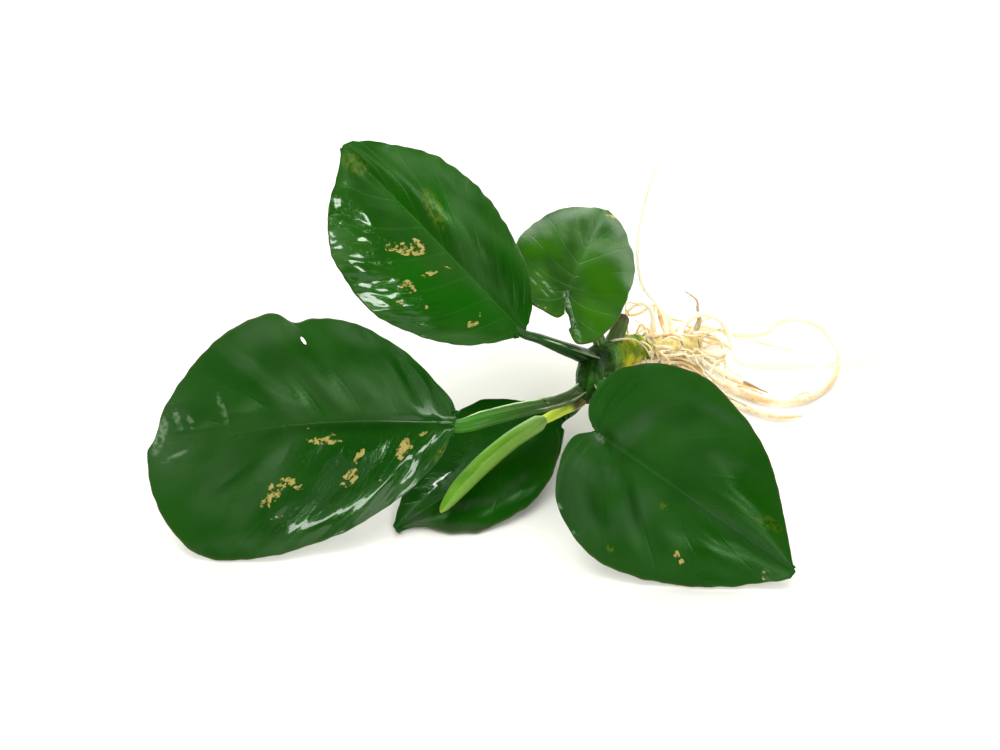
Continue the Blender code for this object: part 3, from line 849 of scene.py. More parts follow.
def model_blade(name, leaf):
    """Model one blade and put it where the leaf table says."""
    blade = new_grid("detailed_" + name, BLADE_ROWS, BLADE_COLUMNS)
    margins = (leaf.left_margin, leaf.right_margin)
    halves = [evenly_spaced(smooth(margin, CURVE_STEPS), BLADE_ROWS) for margin in margins]
    painted = {key: [] for key in PAINTED}
    thickness = blade.vertex_groups.new(name="thickness")
    for vertex in blade.data.vertices:
        row = round((vertex.co.x + 1) / 2 * BLADE_ROWS)
        across = abs(vertex.co.y)
        side = 0 if vertex.co.y > 0 else 1
        place, rib_line = blade_place(leaf, halves[side], row, across, side)
        vertex.co = place * MM
        rim = soft_step(across, 0.85, 1.0)
        share = LAMINA_SHARE + (MARGIN_SHARE - LAMINA_SHARE) * rim
        share += (1.0 - LAMINA_SHARE) * rib_line * (1.0 - rim)
        thickness.add([vertex.index], min(share, 1.0), "REPLACE")
        for key, values in painted.items():
            edge = MELTING.get(key, PATCH_EDGE)
            patches = [mark.patch(place, *edge) for mark in getattr(leaf, key)]
            values.append(max(patches, default=0.0))
    for key, values in painted.items():
        layer = blade.data.attributes.new(key, "FLOAT", "POINT")
        layer.data.foreach_set("value", values)
    thicken = blade.modifiers.new("thickness", "SOLIDIFY")
    thicken.thickness = RIB_THICKNESS * MM
    thicken.offset = -1.0
    thicken.vertex_group = thickness.name
    bpy.ops.object.modifier_apply(modifier=thicken.name)
    for hole in leaf.holes:
        cut_hole(blade, hole)
    blade.location = placed(leaf.base)
    blade.rotation_euler = turned(leaf)
    bpy.ops.object.transform_apply(location=True, rotation=True, scale=True)
    return blade


print("blade tools ready")

# %% [markdown]
# ## Leaf skin
#
# The upper face is nearly one deep green. What the eye reads as light and dark is mostly
# gloss: the dry parts are satin, and the wet parts mirror sharply. So the colour varies only a
# little, with paler veins and a fine net between them, while roughness and the water film do
# the rest. Some light and shade is painted into the colour as well: a duller grey-green as
# painted sheen where the blade would mirror the windows, a clean green as painted shade where it
# mirrors nothing, darker green as painted shade in folds, and pale streaks of painted sheen. The
# marks could come from a painted picture, but ovals that are stored on the points need no file
# and move with the leaf table. Dried tan specks sit in clusters inside their ovals.

# %% Leaf skin


@dataclass
class LeafTone:
    """The greens of one leaf: a clean green painted as shade, deep, light, a dull green painted as
    sheen, and how rough it is where dry.
    """

    clean_green_shade: tuple
    deep: tuple
    light: tuple
    painted_sheen: tuple
    roughness: float


TONES = {
    "leaf_back": LeafTone(
        (0.004, 0.092, 0.000), (0.007, 0.066, 0.001), (0.015, 0.088, 0.003), (0.030, 0.100, 0.018), 0.30
    ),
    "leaf_small": LeafTone(
        (0.024, 0.112, 0.000), (0.008, 0.058, 0.000), (0.022, 0.098, 0.001), (0.044, 0.120, 0.022), 0.24
    ),
    "leaf_left": LeafTone(
        (0.002, 0.048, 0.000), (0.005, 0.056, 0.001), (0.010, 0.072, 0.003), (0.034, 0.088, 0.026), 0.36
    ),
    "leaf_under": LeafTone(
        (0.001, 0.034, 0.000), (0.003, 0.052, 0.001), (0.008, 0.062, 0.002), (0.034, 0.058, 0.028), 0.20
    ),
    "leaf_right": LeafTone(
        (0.004, 0.062, 0.000), (0.005, 0.056, 0.001), (0.010, 0.072, 0.003), (0.026, 0.074, 0.024), 0.38
    ),
}
# How strongly the skin mirrors where no water stands on it.
DRY_GLOSS = 0.34
# The waxy skin mirrors less blue than the water film above it.
WAX_TINT = (0.52, 0.96, 0.42)
# Colours that all leaves share: olive stains, painted sheen streaks, the margin and the dead specks.
STAIN = (0.130, 0.180, 0.006)
STREAK_SHEEN_COLOUR = (0.300, 0.400, 0.260)
MARGIN_BROWN = (0.075, 0.065, 0.020)
DEAD_SHADE = (0.300, 0.210, 0.040)
DEAD_LIGHT = (0.460, 0.370, 0.110)
# How dark the patches of painted shade are against the deep green.
SHADE = 0.45
# How fine the clouds, the grain and the net of the smallest veins are, per metre.
LEAF_CLOUDS = 90.0
LEAF_GRAIN = 900.0
LEAF_NET = 1400.0


def vein_fields(skin, leaf):
    """How far a point is from the midrib, and which side vein it is on, as in the shape."""
    row, sideways = skin.along_and_across()
    signed = (sideways - 0.5) * 2.0
    across = abs(signed)
    side = skin.rise(signed, -0.001, 0.001)
    lean = side * (leaf.lean[0] - leaf.lean[1]) + leaf.lean[1]
    vein = (row - lean * across * (2.0 - across)) * leaf.veins
    return signed, across, vein


def leaf_skin(name, leaf, tone):
    """The skin of one leaf, on both its faces."""
    skin = Skin(name + "_skin")
    place = skin.place()
    signed, across, vein = vein_fields(skin, leaf)
    to_vein = vein.combine("PINGPONG", vein, 0.5)
    veins = (1.0 - skin.rise(to_vein, 0.0, 0.07)) * (1.0 - skin.rise(across, 0.8, 0.98))
    rib = 1.0 - skin.rise(across, 0.0, 0.035)
    rim = skin.rise(across, 0.975, 1.0)
    broad = skin.noise(place, LEAF_CLOUDS, 4.0)
    fine = skin.noise(place, LEAF_GRAIN, 3.0)
    net = skin.rise(skin.cells(place, LEAF_NET), 0.0, 0.12)
    # Streaks that follow the side veins: coarse feathers, short strokes and ripples of water.
    vein_way = skin.grain(vein * 2.2, across * 3.0 + signed)
    feathers = skin.noise(vein_way, 1.6, 4.0, 0.7, 0.5)
    strokes = skin.noise(vein_way, 6.5, 3.0, 0.6, 0.4)
    ripple_way = skin.grain(vein * 4.5, across * 5.0 + signed)
    ripples = skin.noise(ripple_way, 1.0, 3.0, 0.55, 1.2)
    # Greens: painted sheen where the blade would mirror the windows, clean green as painted shade
    # where it mirrors nothing, in its valleys and wet parts, and darker painted shade in folds.
    flesh = skin.mix(skin.rise(broad, 0.3, 0.7), colour(*tone.deep), colour(*tone.light))
    # Painted sheen: a duller grey-green where the blade would mirror the bright windows. It also
    # roughens the blade a little.
    painted_sheen = skin.painted("sheen_marks") * skin.rise(broad * 0.5 + feathers * 0.5, 0.25, 0.62)
    flesh = skin.mix(painted_sheen * 0.85, flesh, colour(*tone.painted_sheen))
    # Painted shade: a clean, saturated green where the blade mirrors nothing bright, in its valleys and
    # wet parts. These marks also make the blade a little smoother.
    clean_green_shade = skin.painted("clean_green_shade")
    flesh = skin.mix(clean_green_shade * (broad * 0.4 + 0.6), flesh, colour(*tone.clean_green_shade))
    # Painted shade: patches darkened in the folds, the valleys and the hollow by the stalk.
    shaded = skin.painted("shaded") * skin.rise(feathers * 0.6 + broad * 0.4, 0.20, 0.65)
    flesh = skin.mix(shaded * 0.8, flesh, colour(*(value * SHADE for value in tone.deep)))
    paler = colour(*(value * 1.6 + 0.004 for value in tone.light))
    flesh = skin.mix(veins * leaf.vein_lines + rib * 0.15, flesh, paler)
    stain = skin.painted("faded") * skin.rise(fine + strokes, 0.85, 1.15)
    flesh = skin.mix(stain * 0.5, flesh, colour(*STAIN))
    # Painted sheen: short pale streaks where the blade shows a whitish glint.
    streak_sheen = skin.painted("sheen_streaks") * skin.rise(fine + feathers, 0.80, 1.20)
    flesh = skin.mix(streak_sheen * 0.45, flesh, colour(*STREAK_SHEEN_COLOUR))
    flesh = skin.mix(rim * 0.5, flesh, colour(*MARGIN_BROWN))
    # Dead specks: strokes that run together inside the painted ovals.
    dry = skin.painted("specks") * 0.44 + strokes * 0.45 + feathers * 0.15 + fine * 0.55
    specks = skin.rise(dry, 0.97, 1.04)
    dead = skin.mix(skin.rise(fine, 0.3, 0.7), colour(*DEAD_SHADE), colour(*DEAD_LIGHT))
    flesh = skin.mix(specks * 0.9, flesh, dead)
    wet = skin.painted("wet")
    smoother = (1.0 - wet * 0.60) * (1.0 - clean_green_shade * 0.35)
    relief = veins * -0.2 + net * 0.04 + fine * 0.10 + specks * 0.6 + ripples * wet
    skin.give(
        Base_Color=flesh,
        Roughness=(tone.roughness + (broad - 0.5) * 0.15) * smoother + painted_sheen * 0.06 + specks * 0.3,
        Specular_IOR_Level=DRY_GLOSS,
        Specular_Tint=colour(*WAX_TINT),
        Coat_Weight=wet * 0.9,
        Coat_Roughness=0.05,
        Normal=skin.relief(relief, 0.12, 1.0),
    )
    return skin


print("leaf skins ready")

# %% [markdown]
# ## The five blades
#
# Every blade is now modelled and dressed in one loop. Real undersides are paler and duller, but
# hardly any is seen in this view, so both faces of a blade wear the same skin.

# %% Blades
for name, leaf in LEAVES.items():
    slot = "leaf_bright" if name == "leaf_small" else "leaf_dark"
    blade = model_blade(name, leaf)
    hand_over(blade, [name], leaf_skin(name, leaf, TONES[name]))

# %% [markdown]
# ## Rolling a tube
#
# Stalks, the stem and the roots are tubes, but none of them is a plain pipe. A curve with a
# bevel would make one quickly, with the same round section all along. Here the grid is rolled
# round a curved line instead, and a function says how far the surface is from that line at each
# angle, so ribs, knobs and flaps are part of the shape. The ends close over like a fingertip.
# Angle 0 is the top of the tube, and the seam is underneath.

# %% Rolling a tube
# Where the rows of a round end are, as shares of its radius.
END_ROUNDING = (0.0, 0.08, 0.3, 0.65)
FRAME_STEPS = 400
# A route that starts steeper than this has no side of its own.
STEEP = 0.2


def frames_along(curve):
    """A forward, a side and an up direction for each point, which twist as little as they can."""
    ahead = [(end.xyz - start.xyz).normalized() for start, end in zip(curve, curve[1:])]
    ahead.append(ahead[-1])
    side = Vector((0.0, 0.0, 1.0)).cross(ahead[0])
    if side.length < STEEP:
        side = Vector((1.0, 0.0, 0.0))
    frames = []
    for forward in ahead:
        side = (side - forward * side.dot(forward)).normalized()
        frames.append((forward, side, forward.cross(side)))
    return frames


def new_tube(name, route, section, around, spacing, rounding=END_ROUNDING):
    """Roll a grid round a route of (x, y, z, radius) points, with round ends.

    The section is a function of how far along the tube a point is, its angle, the radius there
    and the point itself, and it gives how far out the surface is. So many faces go around, and
    the spacing between the rows is in millimetres.
    """
    curve = smooth(route, CURVE_STEPS)
    total = curve_length(curve)
    first, last = curve[0].w, curve[-1].w
    steps = max(round((total - first - last) / spacing), 2)
    middle = [first + (total - first - last) * step / steps for step in range(steps + 1)]
    start = [share * first for share in rounding]
    end = [total - share * last for share in reversed(rounding)]
    distances = start + middle + end
    stations = walked(curve, distances)
    frames = frames_along(evenly_spaced(curve, FRAME_STEPS))
    tube = new_grid(name, len(stations) - 1, around)
    for vertex in tube.data.vertices:
        index = round((vertex.co.x + 1) / 2 * (len(stations) - 1))
        angle = vertex.co.y * math.pi
        distance = distances[index]
        share = distance / total
        centre = stations[index]
        forward, side, up = frames[min(round(share * FRAME_STEPS), FRAME_STEPS)]
        from_end = min(distance / first, (total - distance) / last, 1.0)
        closing = math.sqrt(max(1.0 - (1.0 - from_end) ** 2, 0.0))
        outward = up * math.cos(angle) + side * math.sin(angle)
        reach = section(share, angle, centre.w, centre.xyz + outward * centre.w)
        vertex.co = placed(centre.xyz + outward * reach * closing)
    weld(tube)
    return tube


def wrapped(angle):
    """An angle between minus and plus half a turn."""
    return (angle + math.pi) % (2 * math.pi) - math.pi


print("tube tools ready")

# %% [markdown]
# ## Stalks
#
# A leaf stalk is firm and ribbed lengthwise, with a shallow channel on top. Its lower part
# carries two thin wings, which once wrapped the next young leaf. They dry to a pale, papery
# edge. The wings could be strips of their own, but as high places of the section they grow out
# of the stalk without a seam. Each stalk gets its own greens, because the old ones are dark and
# the young ones are nearly see-through.

# %% Stalks


@dataclass
class Stalk:
    """A leaf stalk: its route, its colour at the stem and at the blade, and its wings."""

    route: list
    near: tuple
    far: tuple
    # Where along it the first colour gives way to the second.
    change: tuple = (0.35, 0.85)
    # Each wing: its angle from the top in degrees, its height, and where along it ends.
    wings: list = field(default_factory=list)


STALKS = {
    "stalk_back": Stalk(
        route=[
            (23.0, -24.5, 19.5, 1.9), (18.0, -28.0, 24.0, 1.8), (13.5, -29.8, 27.0, 1.5),
            (9.0, -30.6, 29.6, 1.2), (5.2, -30.6, 31.0, 1.0),
            under_blade(LEAVES["leaf_back"], 2.5, 1.8, 0.7),
        ],
        near=(0.006, 0.050, 0.006),
        far=(0.016, 0.060, 0.008),
        wings=[(-75.0, 0.7, 0.62), (65.0, 0.9, 0.68)],
    ),
    "stalk_small": Stalk(
        route=[
            (23.8, -21.5, 19.5, 1.4), (21.5, -20.5, 26.0, 1.3), (19.0, -19.2, 29.6, 1.1),
            (15.8, -17.6, 31.2, 0.9), under_blade(LEAVES["leaf_small"], 2.0, 1.2, 0.7),
        ],
        near=(0.070, 0.190, 0.010),
        far=(0.140, 0.260, 0.045),
        wings=[(-60.0, 0.6, 0.6), (70.0, 0.6, 0.5)],
    ),
    "stalk_left": Stalk(
        route=[
            (20.2, -33.5, 19.1, 1.4), (15.5, -39.5, 19.5, 1.35), (10.5, -43.0, 19.9, 1.35),
            (4.5, -46.3, 20.6, 1.5), (-2.0, -49.6, 20.9, 1.7), (-8.6, -51.6, 20.2, 1.6),
            under_blade(LEAVES["leaf_left"], 3.0, 2.2, 0.8),
        ],
        near=(0.030, 0.065, 0.014),
        far=(0.030, 0.165, 0.002),
        wings=[(-30.0, 0.45, 0.85), (75.0, 0.5, 0.45)],
    ),
    "stalk_under": Stalk(
        route=[
            (20.0, -32.0, 17.5, 1.3), (18.6, -31.0, 13.6, 1.2), (17.4, -30.4, 11.0, 1.1),
            (16.6, -30.7, 9.9, 0.9), under_blade(LEAVES["leaf_under"], 2.0, 1.0, 0.7),
        ],
        near=(0.010, 0.070, 0.008),
        far=(0.010, 0.080, 0.004),
    ),
    "stalk_right": Stalk(
        route=[
            (21.5, -31.5, 18.5, 1.6), (23.5, -37.5, 20.5, 1.5), (23.0, -47.0, 22.0, 1.4),
            (22.3, -55.0, 23.8, 1.3), (22.0, -60.4, 23.4, 1.1),
            under_blade(LEAVES["leaf_right"], 3.0, 1.3, 0.7),
        ],
        near=(0.030, 0.125, 0.010),
        far=(0.036, 0.150, 0.010),
        wings=[(-70.0, 0.7, 0.5), (60.0, 0.6, 0.4)],
    ),
    "stalk_rolled": Stalk(
        route=[
            (19.2, -36.0, 17.0, 1.2), (17.0, -38.2, 17.0, 1.3), (14.0, -39.6, 16.3, 1.2),
            (11.0, -40.8, 15.2, 1.15), (9.4, -41.6, 14.7, 1.0),
        ],
        near=(0.110, 0.055, 0.025),
        far=(0.800, 0.930, 0.080),
        change=(0.32, 0.44),
    ),
}
STALK_RIBS = 11
RIB_HEIGHT = 0.045
# The channel's depth is a share of the radius, and both widths are angles in radians.
CHANNEL_DEPTH = 0.16
CHANNEL_WIDTH = 0.45
WING_WIDTH = 0.16
WING_END = 0.12
DRY_EDGE = (0.50, 0.62, 0.30)


def stalk_section(stalk):
    """The section of a ribbed stalk with a channel on top and two wings."""

    def reach(share, angle, radius, place):
        ribs = RIB_HEIGHT * math.cos(STALK_RIBS * angle)
        channel = CHANNEL_DEPTH * radius * math.exp(-((angle / CHANNEL_WIDTH) ** 2))
        lumps = 0.10 * noise.noise(place / 3.0)
        flaps = 0.0
        for wing_angle, height, end in stalk.wings:
            off = wrapped(angle - math.radians(wing_angle)) / WING_WIDTH
            frayed = height * (1.0 + 0.5 * noise.noise(place / 1.3))
            runs_out = 1.0 - soft_step(share, end - WING_END, end)
            flaps += frayed * math.exp(-(off**2)) * runs_out
        return radius + ribs - channel + lumps + flaps

    return reach


def stalk_skin(name, stalk):
    """Green streaks along the stalk, with pale dry edges on its wings."""
    skin = Skin(name + "_skin")
    along, around = skin.along_and_across()
    streaked = skin.grain(along * 2.5, around * 26.0)
    streaks = skin.noise(streaked, 1.0, 4.0, 0.6)
    broad = skin.noise(skin.place(), 160.0, 3.0)
    flesh = skin.mix(skin.rise(along, *stalk.change), colour(*stalk.near), colour(*stalk.far))
    pale = colour(*(value * 1.5 + 0.09 for value in stalk.far))
    flesh = skin.mix(skin.rise(streaks, 0.50, 0.72) * 0.55, flesh, pale)
    dark = colour(*(value * 0.35 for value in stalk.near))
    flesh = skin.mix(skin.rise(broad, 0.55, 0.75) * 0.5, flesh, dark)
    for angle, _, end in stalk.wings:
        off = abs(around - (0.5 + angle / 360.0))
        edge = (1.0 - skin.rise(off, 0.006, 0.024)) * (1.0 - skin.rise(along, end - 0.1, end))
        flesh = skin.mix(edge * skin.rise(streaks + broad, 0.75, 1.05), flesh, colour(*DRY_EDGE))
    skin.give(
        Base_Color=flesh,
        Specular_Tint=colour(*WAX_TINT),
        Roughness=0.28 + broad * 0.2,
        Coat_Weight=skin.rise(broad, 0.45, 0.55) * 0.35,
        Coat_Roughness=0.08,
        Normal=skin.relief(streaks, 0.25, 0.8),
    )
    return skin


for name, stalk in STALKS.items():
    section = stalk_section(stalk)
    piece = new_tube("detailed_" + name, stalk.route, section, around=44, spacing=0.45)
    hand_over(piece, [name], stalk_skin(name, stalk))

# %% [markdown]
# ## The rolled young leaf
#
# A young leaf comes out of the crown as a tight scroll. The free edge of the blade shows as a
# step that runs the whole length, and the outer turn is paler than the part it covers. At the
# foot the scroll is wider than its stalk and looks cut off, and the tip ends in a thin brown
# point. A sheet could really be rolled up for it, but only the outer turn is ever seen, so a
# tube with one step in its section is enough.

# %% Rolled leaf
LEAF_ROLLED = [
    (10.5, -41.1, 15.0, 1.90), (8.0, -42.2, 14.2, 2.05), (2.0, -45.6, 11.9, 2.20),
    (-4.0, -50.6, 9.2, 2.30), (-9.0, -56.6, 7.1, 2.05), (-12.0, -61.2, 5.6, 1.2),
    (-13.0, -63.0, 5.0, 0.25),
]
# The free edge, as an angle from the top, and how far it stands out, as a share of the radius.
SCROLL_EDGE = math.radians(42.0)
SCROLL_STEP = 0.24


def scroll_section(share, angle, radius, place):
    """One turn of a scroll: it slowly widens, and drops back at the free edge."""
    wander = 0.25 * math.sin(5.0 * share) + 0.2 * noise.noise(place / 6.0)
    turn = ((angle - SCROLL_EDGE - wander) % (2 * math.pi)) / (2 * math.pi)
    step = SCROLL_STEP * (1.0 - turn) * soft_step(share, 0.0, 0.1)
    flat = 0.10 * math.cos(2.0 * (angle - 1.2))
    return radius * (1.0 + step - SCROLL_STEP / 2 + flat) + 0.06 * noise.noise(place / 4.0)


def scroll_skin():
    """Fresh green, paler on the outer turn and at the foot, with a dry tip."""
    skin = Skin("rolled_leaf")
    along, around = skin.along_and_across()
    place = skin.place()
    broad = skin.noise(place, 110.0, 3.0)
    fine = skin.noise(place, 1300.0, 3.0, 0.65)
    streaked = skin.grain(along * 5.0, around * 14.0)
    veins = skin.noise(streaked, 1.6, 3.0)
    outer = skin.rise(around + broad * 0.05, 0.645, 0.66) - skin.rise(around, 0.90, 0.96)
    clouds = skin.rise(broad, 0.35, 0.65)
    green = skin.mix(clouds, colour(0.060, 0.205, 0.001), colour(0.115, 0.290, 0.006))
    pale = skin.mix(fine, colour(0.150, 0.310, 0.035), colour(0.230, 0.410, 0.070))
    flesh = skin.mix(outer * 0.8 + skin.rise(veins, 0.5, 0.8) * 0.25, green, pale)
    foot = 1.0 - skin.rise(along, 0.04, 0.30)
    flesh = skin.mix(foot * 0.7, flesh, colour(0.250, 0.430, 0.090))
    tip = skin.rise(along + fine * 0.03, 0.945, 0.985)
    flesh = skin.mix(tip * 0.85, flesh, colour(0.38, 0.33, 0.04))
    skin.give(
        Base_Color=flesh,
        Specular_Tint=colour(*WAX_TINT),
        Roughness=0.42 + (fine - 0.5) * 0.15,
        Coat_Weight=0.15,
        Normal=skin.relief(fine * 0.5 + veins * 0.5, 0.12, 0.6),
    )
    return skin


FOOT_ROUNDING = (0.0, 0.02, 0.08, 0.2)
piece = new_tube(
    "detailed_leaf_rolled", LEAF_ROLLED, scroll_section,
    around=60, spacing=0.4, rounding=FOOT_ROUNDING,
)
hand_over(piece, ["leaf_rolled"], scroll_skin())

# %% [markdown]
# ## Rhizome and old stalk
#
# The rhizome is the plant's creeping stem. Every leaf that has fallen left a ring on it. The
# growing end is dark green and wet, the middle yellow-green, and the old end tan with brown
# specks. The stub of a dead leaf stalk stands on it, dull and olive. Both could be sculpted by
# hand, but rings and knobs that a formula places are easy to count and to move.

# %% Rhizome and old stalk
RHIZOME = [
    (18.8, -37.6, 17.6, 1.6), (19.2, -36.4, 18.0, 2.6), (20.0, -33.5, 19.0, 3.1),
    (21.0, -27.0, 20.0, 3.2), (24.5, -20.5, 19.0, 3.4), (30.5, -12.5, 15.0, 3.6),
    (36.5, -4.5, 10.0, 3.8), (42.0, 3.0, 5.6, 3.8), (46.0, 7.5, 3.4, 3.7),
    (48.2, 9.8, 3.2, 2.6), (48.9, 10.5, 3.2, 1.4),
]
BROWN = (0.075, 0.035, 0.010)
OLD_STALK = [
    (26.0, -18.0, 18.5, 2.1), (27.0, -16.4, 21.5, 2.0), (28.6, -13.6, 24.2, 1.7),
    (29.2, -12.6, 25.0, 0.8),
]
SCARS = 14
# Knobs on the stem, such as a swollen bud and the collars of roots: centre, width and height.
KNOBS = [
    ((26.5, -25.0, 19.5), 2.6, 1.3), ((22.6, -31.0, 20.4), 1.6, 0.5), ((27.6, -21.0, 14.6), 3.0, 2.2),
    ((31.5, -15.0, 17.5), 2.4, 0.9), ((35.0, -9.0, 15.5), 1.6, 0.6), ((41.0, -4.0, 10.5), 2.2, 0.8),
    ((45.5, 2.0, 7.5), 1.8, 0.7), ((38.0, -9.5, 12.0), 1.4, 0.6), ((23.9, -25.0, 17.0), 2.0, 2.8),
]


def rhizome_section(share, angle, radius, place):
    """Slanted leaf scars, knobs where roots broke off, and a rough skin."""
    slant = 0.012 * math.sin(angle + 40.0 * share)
    ring = math.cos(2 * math.pi * SCARS * (share + slant))
    old = soft_step(share, 0.25, 0.5)
    edge = 0.07 * max(ring, 0.0) ** 3 * (0.3 + 0.7 * old)
    lumps = 0.18 * noise.noise(place / 3.0) + 0.10 * noise.noise(place / 1.1)
    reach = radius * (0.96 + edge + lumps * (0.6 + 0.4 * old))
    for spot, wide, high in KNOBS:
        reach += high * math.exp(-(((place - Vector(spot)).length / wide) ** 2))
    # The underside is pressed flat just above the surface, which it would sink into otherwise.
    upwards = math.cos(angle)
    centre_height = place.z - radius * upwards
    if upwards < 0.0 and centre_height + reach * upwards < FLOOR_DROP:
        return (centre_height - FLOOR_DROP) / -upwards
    return reach


def rhizome_skin():
    """Wrinkled dark green, then lime, then tan with brown rings and spots."""
    skin = Skin("rhizome_bark")
    along, around = skin.along_and_across()
    place = skin.place()
    broad = skin.noise(place, 200.0, 4.0)
    fine = skin.noise(place, 1100.0, 4.0, 0.65)
    where = along + (broad - 0.5) * 0.16
    lengthwise = skin.grain(along * 7.0, around * 15.0)
    fibres = skin.noise(lengthwise, 1.2, 4.0, 0.6, 0.6)
    wrinkled = skin.rise(broad * 0.4 + fibres * 0.6, 0.40, 0.66)
    green = skin.mix(wrinkled, colour(0.002, 0.022, 0.000), colour(0.026, 0.125, 0.003))
    fresh = skin.mix(wrinkled, colour(0.020, 0.085, 0.001), colour(0.100, 0.270, 0.004))
    green = skin.mix(skin.rise(along, 0.19, 0.29), green, fresh)
    clouds = skin.rise(broad, 0.32, 0.60)
    lime = skin.mix(clouds, colour(0.110, 0.190, 0.000), colour(0.560, 0.520, 0.004))
    tan = skin.mix(fine, colour(0.620, 0.440, 0.110), colour(0.930, 0.780, 0.360))
    flesh = skin.mix(skin.rise(where, 0.33, 0.41), green, lime)
    flesh = skin.mix(skin.rise(where, 0.50, 0.62), flesh, tan)
    rings = skin.rise(skin.noise(skin.grain(along * 34.0, around * 2.0), 1.0), 0.62, 0.74)
    flesh = skin.mix(rings * skin.rise(along, 0.35, 0.55) * 0.75, flesh, colour(*BROWN))
    spots = skin.rise(skin.noise(place, 420.0, 4.0, 0.65, 0.5), 0.56, 0.62)
    spots = spots * skin.rise(along, 0.3, 0.45) * (1.0 - skin.rise(along, 0.6, 0.72) * 0.7)
    flesh = skin.mix(spots * 0.85, flesh, colour(*BROWN))
    wet = 1.0 - skin.rise(where, 0.40, 0.60)
    skin.give(
        Base_Color=flesh,
        Specular_IOR_Level=DRY_GLOSS,
        Specular_Tint=colour(*WAX_TINT),
        Roughness=0.48 + fine * 0.2,
        Coat_Weight=wet * skin.rise(fibres, 0.54, 0.66) * 0.3,
        Coat_Roughness=0.10,
        Normal=skin.relief(fine * 0.6 + broad + fibres * 0.8, 0.5, 0.9),
    )
    return skin


def old_stalk_section(share, angle, radius, place):
    """Shrunken ribs and a torn top."""
    ribs = 0.05 * radius * math.cos(9 * angle + 2.0 * share)
    return radius * (1.0 - 0.15 * share) + ribs + 0.22 * noise.noise(place / 1.6)


def old_stalk_skin():
    """Dull olive streaks that brown towards the torn top."""
    skin = Skin("dead_stalk")
    along, around = skin.along_and_across()
    streaked = skin.grain(along * 3.0, around * 18.0)
    streaks = skin.noise(streaked, 1.2, 4.0, 0.6)
    broad = skin.noise(skin.place(), 300.0, 4.0)
    flesh = skin.mix(streaks, colour(0.030, 0.085, 0.010), colour(0.150, 0.210, 0.045))
    torn = skin.rise(along + broad * 0.3, 0.75, 1.05)
    flesh = skin.mix(torn * 0.8, flesh, colour(0.090, 0.050, 0.020))
    skin.give(
        Base_Color=flesh,
        Roughness=0.55 + broad * 0.15,
        Normal=skin.relief(streaks + broad, 0.3, 0.8),
    )
    return skin


piece = new_tube("detailed_rhizome", RHIZOME, rhizome_section, around=96, spacing=0.3)
hand_over(piece, ["rhizome"], rhizome_skin())
piece = new_tube("detailed_old_stalk", OLD_STALK, old_stalk_section, around=48, spacing=0.3)
hand_over(piece, ["old_stalk"], old_stalk_skin())

# %% [markdown]
# ## Roots
#
# Anubias roots are tough cream-coloured cords with soft knobs, and they brown in patches where
# the skin has died. Dozens of thinner ones start beside them. The main roots replace the
# solids. The thin ones are only modelled here: those that can be told apart are measured one by
# one, and the rest grow from a random number generator. Its seed is fixed, so every run gives
# the same tangle.

